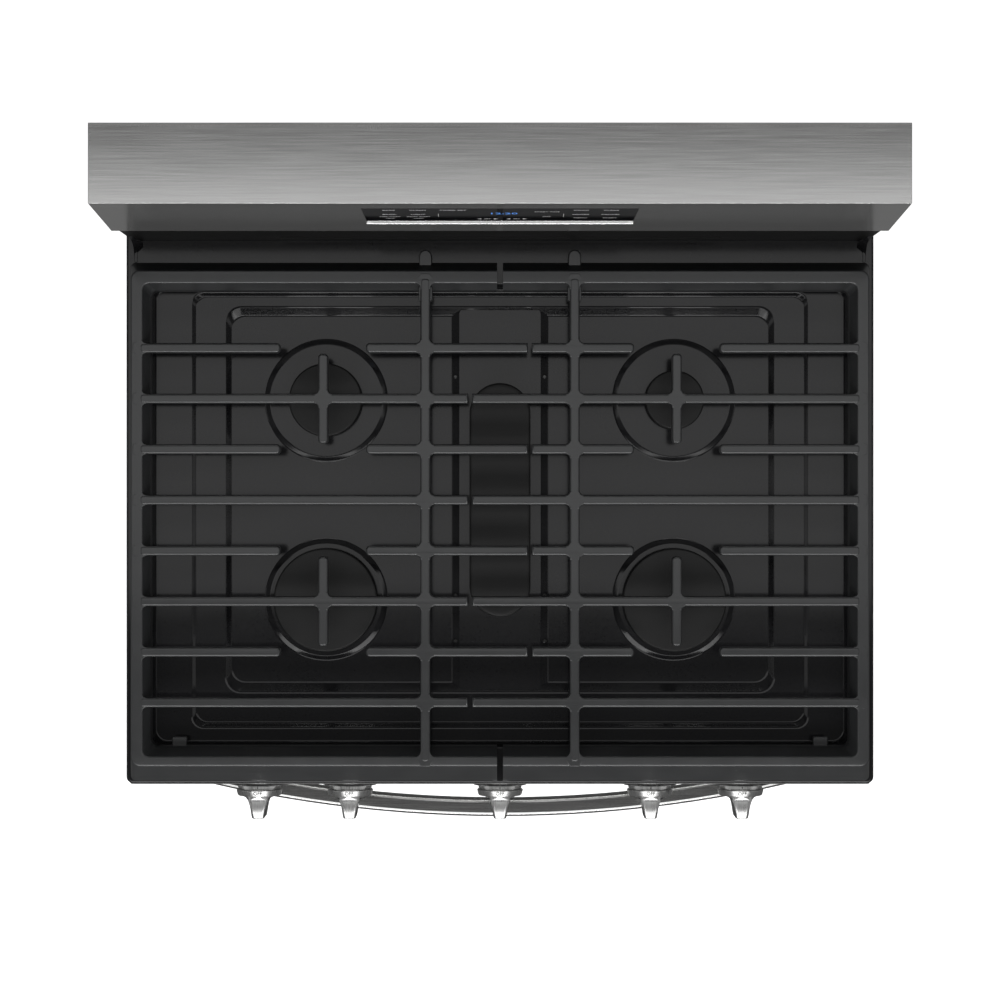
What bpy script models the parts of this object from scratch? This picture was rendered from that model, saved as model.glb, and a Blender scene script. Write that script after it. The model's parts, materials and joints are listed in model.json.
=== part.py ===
"""Freestanding gas range, 30 inches wide, modelled as separate pieces in metres, +Z up, front facing -Y.

The origin is on the floor under the middle of the range. Each piece is one closed solid in its own object,
and a moving piece has its origin on its joint's axis.
"""

import math

import bmesh
import bpy
from mathutils import Matrix, Vector

# ---- Overall sizes ----
WIDTH = 0.759  # cooktop rim and backguard, side to side
DEPTH = 0.6853  # backguard back to handle front
COOKTOP_HEIGHT = 0.914  # floor to cooktop rim
BACKGUARD_HEIGHT = 0.277  # cooktop rim to backguard top

# ---- Shared thicknesses and clearances ----
SHEET = 0.001  # formed sheet steel
GAP = 0.0003  # between pieces that touch
PAST = 0.01  # how far a cutter goes past what it cuts
RUN = 0.0004  # between a pin or stem and its bore
REVEAL = 0.004  # visible gap round the door and the drawer
FLANGE = 0.014  # folded edge of the cooktop

# ---- Body ----
SIDE_INSET = 0.001  # side panel behind the cooktop's edge
BASE_UNDERSIDE = 0.028  # floor to base frame
BASE_BLOCK = 0.034  # height of the base frame's corner blocks
BASE_RAIL = 0.040  # width of the base frame's rails
BASE_RAIL_THICKNESS = 0.003
BASE_SETBACK = 0.008  # base frame inside the side panels
FRAME_FOLD = 0.015  # depth of the front frame's folded edge
PANEL_FOLD = 0.012  # folded edges of the side panels

# ---- Front ----
HANDLE_REACH = 0.0545  # door face to handle front
PANEL_PROUD = 0.0065  # manifold panel in front of the door face
LIP_SETBACK = 0.002  # cooktop lip behind the manifold panel's face
MANIFOLD_PANEL_HEIGHT = 0.0995
MANIFOLD_PANEL_DEPTH = 0.040
FACE_INSET = 0.001  # door, drawer and manifold panel inside the side panels' faces
DRAWER_BOTTOM = 0.075
DRAWER_FACE_HEIGHT = 0.169
DRAWER_FACE_DEPTH = 0.018
DRAWER_BOX_HEIGHT = 0.130
DRAWER_BOX_LENGTH = 0.470
DRAWER_SIDE_CLEARANCE = 0.045  # drawer box inside the side panels

# ---- Oven door ----
DOOR_THICKNESS = 0.0366
DOOR_TO_FRAME = 0.004
SKIN_DEPTH = 0.024
HINGE_RISE = 0.012  # hinge axis above the door's lower edge
HINGE_PIN_RADIUS = 0.0025
HINGE_BARREL_RADIUS = 0.0065
HINGE_INSET = 0.036  # hinge bracket inside the door's side
HINGE_PLATE = 0.004
HINGE_ARM_LENGTH = 0.130
WINDOW_SIDE = 0.150  # door side to window
WINDOW_BELOW = 0.145  # door's lower edge to window
WINDOW_ABOVE = 0.155  # window to door's upper edge
WINDOW_CORNER = 0.018
WINDOW_LAP = 0.014  # glass behind the window's edge
GLASS = 0.004
HANDLE_RADIUS = 1.38  # bow of the handle's front, seen from above
HANDLE_THICKNESS = 0.019
HANDLE_HEIGHT = 0.024
HANDLE_HALF_SPAN = 0.315
HANDLE_POST = 0.030
HANDLE_BELOW_TOP = 0.046  # door's upper edge to the handle's middle

# ---- Oven ----
OVEN_HALF_WIDTH = 0.305
OVEN_SIDE_SPACE = OVEN_HALF_WIDTH  # half of the opening in the front frame
OVEN_FLOOR_ABOVE_DRAWER = 0.060
OVEN_TOP_BELOW_PANEL = 0.058
OVEN_BACK_SPACE = 0.088  # oven's back wall to the back panel
INSULATION = 0.024
RIB_REACH = 0.012
RIB_HEIGHT = 0.005
RIB_FIRST = 0.105  # oven floor to the lowest rack support
RIB_PITCH = 0.065
RIB_COUNT = 4
LOWER_RACK_RIB = 0
UPPER_RACK_RIB = 2
RACK_ROD = 0.003
RACK_WIRE = 0.002
RACK_WIRES = 11
RACK_FRONT_CLEARANCE = 0.020
RACK_BACK_CLEARANCE = 0.030
PLATE_RISE = 0.034  # floor plate above the oven floor
PLATE = 0.0015
BAKE_TUBE = 0.009
BROIL_TUBE = 0.008
BROIL_HALF_WIDTH = 0.140
BROIL_HEIGHT = 0.022
FLUE_HALF_WIDTH = 0.085
FLUE_DEPTH = 0.026
PROBE_RADIUS = 0.003
PROBE_LENGTH = 0.090
LAMP_RADIUS = 0.024

# ---- Gas ----
KNOB_POSITIONS = (-0.249, -0.155, 0.0, 0.155, 0.249)
KNOB_NAMES = ("left_front", "left_rear", "center", "right_rear", "right_front")
KNOB_BELOW_RIM = 0.059
PIPE_RADIUS = 0.0095
PIPE_BELOW_KNOBS = 0.026
PIPE_END_INSET = 0.044  # supply pipe inside the side panel's face
VALVE_HALF_WIDTH = 0.011
VALVE_DEPTH = 0.030
VALVE_BEHIND_PANEL = 0.0145
STEM_RADIUS = 0.004
STEM_TRAVEL = 0.0035
BEZEL_DEPTH = 0.004
BEZEL_FLOOR = 0.0001
SKIRT_RADIUS = 0.0237
BEZEL_RADIUS = SKIRT_RADIUS + 0.0043
SKIRT_DEPTH = 0.0108
KNOB_DEPTH = 0.0343
BLADE_BASE = 0.0090
BLADE_TIP = 0.0064
BLADE_HALF_LENGTH = 0.0225
TUBE_RADIUS = 0.004
REGULATOR_TOP = 0.205
REGULATOR_RADIUS = 0.022

# ---- Cooktop: side, front and rear insets, corner radius and drop below the rim, from the edge inwards ----
EDGE_ROUND = 0.003
DECK_UNDER_RISER = 0.020
STEPS = {
    "well_top": (0.0255, 0.0375, 0.0443, 0.012, 0.0),
    "well_foot": (0.0290, 0.0415, 0.0483, 0.012, 0.012),
    "ledge_edge": (0.0650, 0.0560, 0.0518, 0.012, 0.012),
    "ledge_foot": (0.0699, 0.0604, 0.0553, 0.012, 0.016),
    "floor_edge": (0.0993, 0.0918, 0.0660, 0.014, 0.016),
    "floor": (0.1055, 0.1008, 0.0750, 0.014, 0.022),
}
PLATEAU_TOP = 0.0415  # half width
PLATEAU_SLOPE = 0.008
PLATEAU_END = 0.006  # plateau's foot inside the floor's ends
PLATEAU_RISE = 0.006

# ---- Burners ----
BURNER_X = 0.1775
BURNER_FROM_REAR = 0.0864  # rear burners to the floor's rear edge
BURNER_FROM_FRONT = 0.0854
CAP_RADII = {"left_front": 0.0527, "left_rear": 0.0372, "right_rear": 0.0300, "right_front": 0.0527}
OVAL_HALF_WIDTH = 0.0309
OVAL_HALF_LENGTH = 0.1187
CAP_THICKNESS = 0.006
CAP_OVERHANG = 0.005
HEAD_HEIGHT = 0.013
THROAT_RADIUS = 0.017

# ---- Grates ----
GRATE_HEIGHT = 0.036  # rim to grate top
SEAM = 0.006
RAIL_OUTSIDE = 0.0055  # cooktop edge to the side rail's outer foot
RAIL_TOP_OUT = 0.008
RAIL_TOP_IN = 0.0205
RAIL_FOOT_IN = 0.0285
FRONT_RAIL = (0.0036, 0.0210, 0.0300, 0.0398)  # from the lip: outer foot, top edges, inner foot
REAR_RAIL = (0.0228, 0.0329, 0.0454, 0.0520)  # from the riser: outer foot, top edges, inner foot
RAIL_APRON = 0.018  # rails' foot above the rim, where the slopes start
BAR_WIDTH = 0.0098
BAR_TOP_WIDTH = 0.0060
BAR_DEPTH = 0.013
BAR_SHOULDER = 0.003
BAR_PITCH = 0.0508
FINGER_REACH = 0.030  # from the seam to the gap between the two grates' bar ends
FINGER_GAP = 0.004
BAR_DROP = 0.0004  # bars below the rails' tops, and front-to-back bars below the bars
BURNER_BREAK = 0.043  # bar ends from the burner's middle
CROSS_FINGER = 0.045
SPINE_X = 0.075  # front-to-back bars
LUG_X = 0.0754
LUG_RADIUS = 0.0064
LUG_HALF_THICKNESS = 0.005
LUG_BEHIND_RAIL = 0.006  # hinge axis behind the rear rail's foot
LUG_AXIS_RISE = 0.010

# ---- Backguard ----
CONSOLE_TOP_DEPTH = 0.0745
CONSOLE_LEAN = 0.0103  # the face's foot in front of its head
CONSOLE_FACE_HEIGHT = 0.163
RISER_INSET = 0.007
RISER_SETBACK = 0.0006
VENT_HALF_WIDTH = 0.070
VENT_HEIGHT = 0.009
GLASS_HALF_WIDTH = 0.129
GLASS_TAPER = 0.002
GLASS_LOW = 0.0561  # face's foot to the glass, along the face
GLASS_HIGH = 0.1353
GLASS_CORNER = 0.007
BOARD_HALF_WIDTH = 0.105
BOARD_THICKNESS = 0.018

# ---- Levelling legs ----
LEG_RADIUS = 0.005
FOOT_RADIUS = 0.019
FOOT_HEIGHT = 0.009
LEG_LENGTH = 0.060
ROUND_STEPS = 20

# ---- Planes that the sizes above set ----
BACK_Y = DEPTH / 2
HANDLE_FRONT_Y = -DEPTH / 2
DOOR_FACE_Y = HANDLE_FRONT_Y + HANDLE_REACH
PANEL_FACE_Y = DOOR_FACE_Y - PANEL_PROUD
LIP_Y = PANEL_FACE_Y + LIP_SETBACK
DOOR_BACK_Y = DOOR_FACE_Y + DOOR_THICKNESS
BODY_FRONT_Y = DOOR_BACK_Y + DOOR_TO_FRAME
BODY_BACK_Y = BACK_Y - SHEET - GAP
RISER_Y = BACK_Y - CONSOLE_TOP_DEPTH - CONSOLE_LEAN + RISER_SETBACK
HALF = WIDTH / 2
BODY_HALF = HALF - SIDE_INSET
FACE_HALF = BODY_HALF - FACE_INSET
RIM_Z = COOKTOP_HEIGHT
TOP_Z = RIM_Z + BACKGUARD_HEIGHT
CONSOLE_FOOT_Z = TOP_Z - CONSOLE_FACE_HEIGHT
PANEL_TOP_Z = RIM_Z - FLANGE - GAP
PANEL_BOTTOM_Z = PANEL_TOP_Z - MANIFOLD_PANEL_HEIGHT
DOOR_TOP_Z = PANEL_BOTTOM_Z - REVEAL
DRAWER_TOP_Z = DRAWER_BOTTOM + DRAWER_FACE_HEIGHT
HINGE_Y = (DOOR_FACE_Y + DOOR_BACK_Y) / 2
CORNER_SWING = math.hypot(DOOR_THICKNESS / 2, HINGE_RISE)  # what the door's lower corners sweep
HINGE_Z = DRAWER_TOP_Z + CORNER_SWING + 0.002
DOOR_BOTTOM_Z = HINGE_Z - HINGE_RISE
OVEN_FLOOR_Z = DRAWER_TOP_Z + OVEN_FLOOR_ABOVE_DRAWER
OVEN_TOP_Z = PANEL_BOTTOM_Z - OVEN_TOP_BELOW_PANEL
OVEN_FRONT_Y = BODY_FRONT_Y + SHEET + GAP
OVEN_BACK_Y = BACK_Y - OVEN_BACK_SPACE
KNOB_Z = RIM_Z - KNOB_BELOW_RIM
FRAME_TOP_Z = RIM_Z - STEPS["floor"][4] - 2 * SHEET - REVEAL
HANDLE_Z = DOOR_TOP_Z - HANDLE_BELOW_TOP
FLOOR_Z = RIM_Z - STEPS["floor"][4]
FLOOR_REAR_Y = RISER_Y - STEPS["floor"][2]
FLOOR_FRONT_Y = LIP_Y + STEPS["floor"][1]
REAR_BURNER_Y = FLOOR_REAR_Y - BURNER_FROM_REAR
FRONT_BURNER_Y = FLOOR_FRONT_Y + BURNER_FROM_FRONT
MIDDLE_Y = (REAR_BURNER_Y + FRONT_BURNER_Y) / 2
GRATE_TOP_Z = RIM_Z + GRATE_HEIGHT
LUG_Y = RISER_Y - REAR_RAIL[0] + LUG_BEHIND_RAIL
LUG_Z = RIM_Z + LUG_AXIS_RISE
BASE_HALF = BODY_HALF - BASE_SETBACK
BASE_FRONT_Y = BODY_FRONT_Y + BASE_SETBACK
BASE_BACK_Y = BODY_BACK_Y - BASE_SETBACK
BASE_TOP_Z = BASE_UNDERSIDE + BASE_BLOCK
SUPPLY_X = BODY_HALF - PIPE_END_INSET
PIPE_Z = KNOB_Z - PIPE_BELOW_KNOBS
VALVE_FRONT_Y = PANEL_FACE_Y + VALVE_BEHIND_PANEL
VALVE_BACK_Y = VALVE_FRONT_Y + VALVE_DEPTH
PIPE_Y = (VALVE_FRONT_Y + VALVE_BACK_Y) / 2
BROIL_TUBE_X = FLUE_HALF_WIDTH + 0.025
SUPPLY_Y = BODY_BACK_Y - PANEL_FOLD - PIPE_RADIUS

# ---- Finishes: colour, roughness, metallic ----
FINISHES = {
    "stainless": ((0.46, 0.46, 0.45), 0.32, 1.0),
    "porcelain": ((0.022, 0.022, 0.023), 0.18, 0.0),
    "cast_iron": ((0.035, 0.036, 0.037), 0.62, 0.0),
    "cap_enamel": ((0.016, 0.016, 0.016), 0.55, 0.0),
    "aluminium": ((0.62, 0.62, 0.60), 0.42, 1.0),
    "galvanised": ((0.42, 0.43, 0.44), 0.45, 1.0),
    "black_paint": ((0.012, 0.012, 0.013), 0.35, 0.0),
    "oven_enamel": ((0.035, 0.040, 0.055), 0.30, 0.0),
    "black_glass": ((0.006, 0.006, 0.008), 0.06, 0.0),
    "clear_glass": ((0.30, 0.32, 0.32), 0.05, 0.0),
    "insulation": ((0.72, 0.66, 0.38), 0.95, 0.0),
    "chrome": ((0.70, 0.70, 0.70), 0.14, 1.0),
    "satin_metal": ((0.55, 0.55, 0.54), 0.28, 1.0),
    "brass": ((0.60, 0.44, 0.16), 0.35, 1.0),
    "circuit_board": ((0.02, 0.10, 0.05), 0.50, 0.0),
    "gasket": ((0.08, 0.08, 0.08), 0.90, 0.0),
    "plastic": ((0.03, 0.03, 0.03), 0.50, 0.0),
}


# ---- Modelling helpers ----
def clear_scene():
    for old in list(bpy.data.objects):
        bpy.data.objects.remove(old, do_unlink=True)


def finish_material(name, finish):
    colour, roughness, metallic = FINISHES[finish]
    material = bpy.data.materials.new(name)
    material.use_nodes = True
    shader = material.node_tree.nodes["Principled BSDF"]
    shader.inputs["Base Color"].default_value = (*colour, 1.0)
    shader.inputs["Roughness"].default_value = roughness
    shader.inputs["Metallic"].default_value = metallic
    return material


def is_flat(face):
    """Whether a face is flat to a ten-thousandth of a millimetre."""
    start = face.verts[0].co
    return all(abs((vert.co - start).dot(face.normal)) < 1e-7 for vert in face.verts)


def solid(bm, name="shape"):
    """Makes an object of the bmesh, with its faces pointing out, and cuts bent faces into triangles."""
    bm.normal_update()
    bent = [face for face in bm.faces if not is_flat(face)]
    bmesh.ops.triangulate(bm, faces=bent)
    bmesh.ops.recalc_face_normals(bm, faces=bm.faces)
    mesh = bpy.data.meshes.new(name)
    bm.to_mesh(mesh)
    bm.free()
    obj = bpy.data.objects.new(name, mesh)
    bpy.context.scene.collection.objects.link(obj)
    return obj


def combine(target, tools, operation, solver):
    """Joins the tools to the target or cuts them from it, and removes them."""
    for tool in tools:
        modifier = target.modifiers.new("combine", "BOOLEAN")
        modifier.operation = operation
        modifier.solver = solver
        modifier.object = tool
        graph = bpy.context.evaluated_depsgraph_get()
        mesh = bpy.data.meshes.new_from_object(target.evaluated_get(graph))
        target.modifiers.remove(modifier)
        target.data = mesh
        bpy.data.objects.remove(tool, do_unlink=True)
    return target


def join(target, *tools, solver="EXACT"):
    return combine(target, tools, "UNION", solver)


def cut(target, *tools, solver="EXACT"):
    return combine(target, tools, "DIFFERENCE", solver)


def name_part(obj, name, finish, origin=(0.0, 0.0, 0.0), smooth=False):
    """Gives the object its name, material and origin."""
    obj.name = name
    obj.data.name = name
    obj.data.materials.clear()
    obj.data.materials.append(finish_material(name, finish))
    obj.data.transform(Matrix.Translation(-Vector(origin)))
    obj.location = origin
    if smooth:
        obj.data.shade_smooth()
        obj.data.set_sharp_from_angle(angle=math.radians(35))
    return obj


def block(low, high):
    """A box between two corners."""
    bm = bmesh.new()
    size = Vector(high) - Vector(low)
    place = Matrix.Translation((Vector(low) + Vector(high)) / 2) @ Matrix.Diagonal((*size, 1.0))
    bmesh.ops.create_cube(bm, size=1.0, matrix=place)
    return solid(bm)


def tray(low, high, wall, open_side):
    """A box with thin walls, open on one side, such as '+Y'."""
    bm = bmesh.new()
    size = Vector(high) - Vector(low)
    place = Matrix.Translation((Vector(low) + Vector(high)) / 2) @ Matrix.Diagonal((*size, 1.0))
    bmesh.ops.create_cube(bm, size=1.0, matrix=place)
    axis = "XYZ".index(open_side[1])
    sign = 1 if open_side[0] == "+" else -1
    face = max(bm.faces, key=lambda f: sign * f.calc_center_median()[axis])
    bmesh.ops.inset_region(bm, faces=[face], thickness=wall, use_even_offset=True)
    inner = bmesh.ops.extrude_discrete_faces(bm, faces=[face])["faces"][0]
    shift = Vector((0.0, 0.0, 0.0))
    shift[axis] = -sign * (size[axis] - wall)
    bmesh.ops.translate(bm, vec=shift, verts=inner.verts)
    return solid(bm)


def stack(rings):
    """A closed solid skinned through rings that have the same number of points, and capped at both ends."""
    bm = bmesh.new()
    loops = [[bm.verts.new(point) for point in ring] for ring in rings]
    for low, high in zip(loops, loops[1:]):
        for i, corner in enumerate(low):
            j = (i + 1) % len(low)
            bm.faces.new((corner, low[j], high[j], high[i]))
    bm.faces.new(loops[0])
    bm.faces.new(loops[-1])
    return solid(bm)


def prism(outline, axis, low, high):
    """An outline of pairs, in X, Y, Z order without the axis, extruded along the axis."""
    index = "XYZ".index(axis)

    def ring(level):
        return [(*pair[:index], level, *pair[index:]) for pair in outline]

    return stack([ring(low), ring(high)])


def round_box(x_low, x_high, y_low, y_high, radius, steps=5):
    """Points round a rectangle with rounded corners."""
    corners = (
        (x_high - radius, y_high - radius, 0),
        (x_low + radius, y_high - radius, 90),
        (x_low + radius, y_low + radius, 180),
        (x_high - radius, y_low + radius, 270),
    )
    points = []
    for x, y, start in corners:
        for step in range(steps + 1):
            angle = math.radians(start + 90 * step / steps)
            points.append((x + radius * math.cos(angle), y + radius * math.sin(angle)))
    return points


def turned(profile, centre, axis, steps=ROUND_STEPS):
    """A profile of (radius, distance) pairs, from radius 0 to radius 0, turned about an axis."""
    bm = bmesh.new()
    directions = {"X": Vector((1, 0, 0)), "Y": Vector((0, 1, 0)), "Z": Vector((0, 0, 1))}
    along = directions[axis]
    outward = directions["Y"] if axis == "X" else directions["X"]
    centre = Vector(centre)
    verts = [bm.verts.new(centre + outward * radius + along * distance) for radius, distance in profile]
    edges = [bm.edges.new(pair) for pair in zip(verts, verts[1:])]
    geometry = verts + edges
    bmesh.ops.spin(bm, geom=geometry, cent=centre, axis=along, angle=math.tau, steps=steps, use_merge=True)
    bmesh.ops.remove_doubles(bm, verts=bm.verts, dist=1e-6)
    return solid(bm)


def rod(centre, radius, low, high, axis, steps=ROUND_STEPS):
    """A round bar along an axis, from one distance to another."""
    return turned([(0, low), (radius, low), (radius, high), (0, high)], centre, axis, steps)


def pipe(points, radius, resolution=2):
    """A round tube along straight runs, with filled ends."""
    curve = bpy.data.curves.new("pipe", "CURVE")
    curve.dimensions = "3D"
    curve.bevel_depth = radius
    curve.bevel_resolution = resolution
    curve.use_fill_caps = True
    spline = curve.splines.new("POLY")
    spline.points.add(len(points) - 1)
    for point, place in zip(spline.points, points):
        point.co = (*place, 1.0)
    guide = bpy.data.objects.new("pipe", curve)
    bpy.context.scene.collection.objects.link(guide)
    graph = bpy.context.evaluated_depsgraph_get()
    mesh = bpy.data.meshes.new_from_object(guide.evaluated_get(graph))
    bpy.data.objects.remove(guide, do_unlink=True)
    bm = bmesh.new()
    bm.from_mesh(mesh)
    bmesh.ops.remove_doubles(bm, verts=bm.verts, dist=1e-6)
    return solid(bm)


# ---- Body ----
def make_base_frame():
    sheet_top = BASE_UNDERSIDE + BASE_RAIL_THICKNESS
    outer = block((-BASE_HALF, BASE_FRONT_Y, BASE_UNDERSIDE), (BASE_HALF, BASE_BACK_Y, sheet_top))
    inner = block(
        (-BASE_HALF + BASE_RAIL, BASE_FRONT_Y + BASE_RAIL, 0),
        (BASE_HALF - BASE_RAIL, BASE_BACK_Y - BASE_RAIL, BASE_TOP_Z),
    )
    frame = cut(outer, inner)
    for x, y in leg_places():
        half = BASE_RAIL / 2 - SHEET
        corner = block((x - half, y - half, BASE_UNDERSIDE + SHEET), (x + half, y + half, BASE_TOP_Z))
        frame = join(frame, corner)
    bores = [rod((x, y, 0), LEG_RADIUS + RUN, 0, COOKTOP_HEIGHT / 2, "Z") for x, y in leg_places()]
    name_part(cut(frame, *bores), "base_frame", "galvanised")


def leg_places():
    """Leg centres: front left, front right, back left and back right."""
    half = BASE_RAIL / 2
    return [(x * (BASE_HALF - half), y) for y in (BASE_FRONT_Y + half, BASE_BACK_Y - half) for x in (-1, 1)]


def make_leveling_legs():
    profile = [
        (0, 0),
        (FOOT_RADIUS - 0.002, 0),
        (FOOT_RADIUS, 0.002),
        (FOOT_RADIUS, FOOT_HEIGHT - 0.002),
        (FOOT_RADIUS - 0.003, FOOT_HEIGHT),
        (LEG_RADIUS, FOOT_HEIGHT),
        (LEG_RADIUS, LEG_LENGTH - 0.001),
        (LEG_RADIUS - 0.001, LEG_LENGTH),
        (0, LEG_LENGTH),
    ]
    names = ("front_left", "front_right", "back_left", "back_right")
    for name, (x, y) in zip(names, leg_places()):
        leg = turned(profile, (x, y, 0), "Z")
        name_part(leg, "leveling_leg_" + name, "plastic", (x, y, 0), smooth=True)


def make_front_frame():
    """The folded steel face behind the door and the drawer, with the hinge brackets and their pins."""
    low = (-BODY_HALF, BODY_FRONT_Y, BASE_TOP_Z + GAP)
    high = (BODY_HALF, BODY_FRONT_Y + FRAME_FOLD, FRAME_TOP_Z)
    frame = tray(low, high, SHEET, "+Y")
    past = (BODY_FRONT_Y - REVEAL, BODY_FRONT_Y + SHEET + REVEAL)
    oven = block((-OVEN_SIDE_SPACE, past[0], OVEN_FLOOR_Z), (OVEN_SIDE_SPACE, past[1], OVEN_TOP_Z))
    drawer_half = BODY_HALF - DRAWER_SIDE_CLEARANCE + 2 * REVEAL
    drawer = block(
        (-drawer_half, past[0], DRAWER_BOTTOM - REVEAL),
        (drawer_half, past[1], DRAWER_BOTTOM + DRAWER_BOX_HEIGHT + 4 * REVEAL),
    )
    gas_half = SUPPLY_X + 2 * PIPE_RADIUS
    gas = block((-gas_half, past[0], PIPE_Z - 2 * PIPE_RADIUS), (gas_half, past[1], FRAME_TOP_Z - 2 * REVEAL))
    frame = cut(frame, oven, drawer, gas)
    for side in (-1, 1):
        inner = FACE_HALF - HINGE_INSET
        pair = sorted((side * inner, side * (inner + HINGE_PLATE)))
        arm = block(
            (pair[0], HINGE_Y - HINGE_BARREL_RADIUS, HINGE_Z - HINGE_BARREL_RADIUS),
            (pair[1], BODY_FRONT_Y + SHEET / 2, HINGE_Z + HINGE_BARREL_RADIUS),
        )
        reach_out = sorted((side * (inner + HINGE_PLATE / 2), side * (inner + HINGE_PLATE * 3.4)))
        pin = rod((0, HINGE_Y, HINGE_Z), HINGE_PIN_RADIUS, reach_out[0], reach_out[1], "X", 16)
        frame = join(frame, join(arm, pin))
    name_part(frame, "front_frame", "galvanised")


def make_side_panels():
    for side, name, opening in ((-1, "left", "+X"), (1, "right", "-X")):
        outer, inner = side * BODY_HALF, side * (BODY_HALF - PANEL_FOLD)
        low = (min(outer, inner), BODY_FRONT_Y + FRAME_FOLD + GAP, BASE_UNDERSIDE)
        high = (max(outer, inner), BODY_BACK_Y, PANEL_TOP_Z)
        panel = tray(low, high, SHEET, opening)
        notch = block(
            (min(inner, inner - side * 0.01, outer - side * 2 * SHEET), BASE_FRONT_Y - GAP - 0.05, 0),
            (max(inner, inner - side * 0.01, outer - side * 2 * SHEET), BASE_BACK_Y + GAP, BASE_TOP_Z + GAP),
        )
        name_part(cut(panel, notch), "side_panel_" + name, "black_paint")


def make_back_panel():
    half = HALF - SHEET - GAP
    panel = block((-half, BACK_Y - SHEET, BASE_UNDERSIDE), (half, BACK_Y, TOP_Z - SHEET - GAP))
    access = block(
        (SUPPLY_X - BASE_RAIL, BACK_Y - PAST, REGULATOR_TOP - 0.11),
        (SUPPLY_X + PIPE_RADIUS, BACK_Y + PAST, REGULATOR_TOP),
    )
    name_part(cut(panel, access), "back_panel", "galvanised")


# ---- Cooktop ----
def step_ring(name, drop=0.0, grow=0.0):
    """One outline of the pressed cooktop, from its insets."""
    side, front, rear, radius, depth = STEPS[name]
    half = HALF - side + grow
    outline = round_box(-half, half, LIP_Y + front - grow, RISER_Y - rear + grow, radius)
    return [(x, y, RIM_Z - depth - drop) for x, y in outline]


def edge_ring(inset, drop):
    radius = 0.007 - inset
    rear = RISER_Y + DECK_UNDER_RISER - inset
    outline = round_box(-HALF + inset, HALF - inset, LIP_Y + inset, rear, radius)
    return [(x, y, RIM_Z - drop) for x, y in outline]


def plateau_ring(grow, rise):
    half = PLATEAU_TOP + grow
    low = FLOOR_FRONT_Y + PLATEAU_END + PLATEAU_SLOPE - grow
    high = FLOOR_REAR_Y - PLATEAU_END - PLATEAU_SLOPE + grow
    return [(x, y, FLOOR_Z + rise) for x, y in round_box(-half, half, low, high, 0.006 + grow)]


def make_cooktop():
    top = [
        edge_ring(0, FLANGE),
        edge_ring(0, EDGE_ROUND),
        edge_ring(EDGE_ROUND * 0.3, EDGE_ROUND * 0.3),
        edge_ring(EDGE_ROUND, 0),
    ]
    top += [step_ring(name) for name in STEPS]
    top += [plateau_ring(PLATEAU_SLOPE, 0), plateau_ring(0, PLATEAU_RISE)]
    under = [edge_ring(SHEET, FLANGE), edge_ring(SHEET, EDGE_ROUND), edge_ring(EDGE_ROUND, SHEET)]
    under += [step_ring(name, SHEET, SHEET * 0.6) for name in STEPS]
    under += [plateau_ring(PLATEAU_SLOPE - SHEET, -SHEET), plateau_ring(-SHEET, PLATEAU_RISE - SHEET)]
    top.reverse()
    pan = stack(top + under)
    holes = []
    for x, y in burner_places().values():
        holes.append(rod((x, y, 0), THROAT_RADIUS + 5 * RUN, FLOOR_Z - 0.02, RIM_Z + 0.02, "Z"))
    name_part(cut(pan, *holes), "cooktop", "porcelain")


def burner_places():
    return {
        "left_front": (-BURNER_X, FRONT_BURNER_Y),
        "left_rear": (-BURNER_X, REAR_BURNER_Y),
        "center": (0.0, MIDDLE_Y),
        "right_rear": (BURNER_X, REAR_BURNER_Y),
        "right_front": (BURNER_X, FRONT_BURNER_Y),
    }


# ---- Burners ----
def oval_ring(inset, level):
    half, length = OVAL_HALF_WIDTH - inset, OVAL_HALF_LENGTH - inset
    outline = round_box(-half, half, MIDDLE_Y - length, MIDDLE_Y + length, half * 0.999, steps=8)
    return [(x, y, level) for x, y in outline]


def seat_height(name):
    """The cooktop's height under a burner."""
    return FLOOR_Z + (PLATEAU_RISE if name == "center" else 0.0)


def feed_tube(name, x, y):
    """The gas tube from a burner's throat to its valve, round the front burner's throat."""
    knob_x = KNOB_POSITIONS[KNOB_NAMES.index(name)]
    start = (knob_x, VALVE_BACK_Y + 0.006 + GAP, KNOB_Z)
    side = math.copysign(1, x) if x else 0
    if name.endswith("rear"):
        bypass = x - side * (THROAT_RADIUS + 5 * TUBE_RADIUS)
        middle = [(bypass, start[1] + 0.031, KNOB_Z), (bypass, y - 0.052, KNOB_Z)]
    else:
        middle = [(knob_x, y - 0.060, KNOB_Z)]
    straight = (knob_x, start[1] + 0.012, KNOB_Z)
    return pipe([start, straight, *middle, (x, y, KNOB_Z)], TUBE_RADIUS)


def make_burner_bases():
    for name, (x, y) in burner_places().items():
        seat = seat_height(name)
        throat = rod((x, y, 0), THROAT_RADIUS, KNOB_Z - TUBE_RADIUS - 0.004, seat + HEAD_HEIGHT / 2, "Z")
        if name == "center":
            rings = [oval_ring(CAP_OVERHANG + 0.002, seat + GAP), oval_ring(CAP_OVERHANG, seat + 0.003)]
            head = stack([*rings, oval_ring(CAP_OVERHANG, seat + HEAD_HEIGHT)])
        else:
            radius = CAP_RADII[name] - CAP_OVERHANG
            low, high = seat + GAP, seat + HEAD_HEIGHT
            outline = [(0, low), (radius - 0.004, low), (radius, low + 0.003), (radius, high), (0, high)]
            head = turned(outline, (x, y, 0), "Z", 28)
        base = join(head, throat, feed_tube(name, x, y), solver="MANIFOLD")
        name_part(base, "burner_base_" + name, "aluminium", smooth=True)


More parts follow.
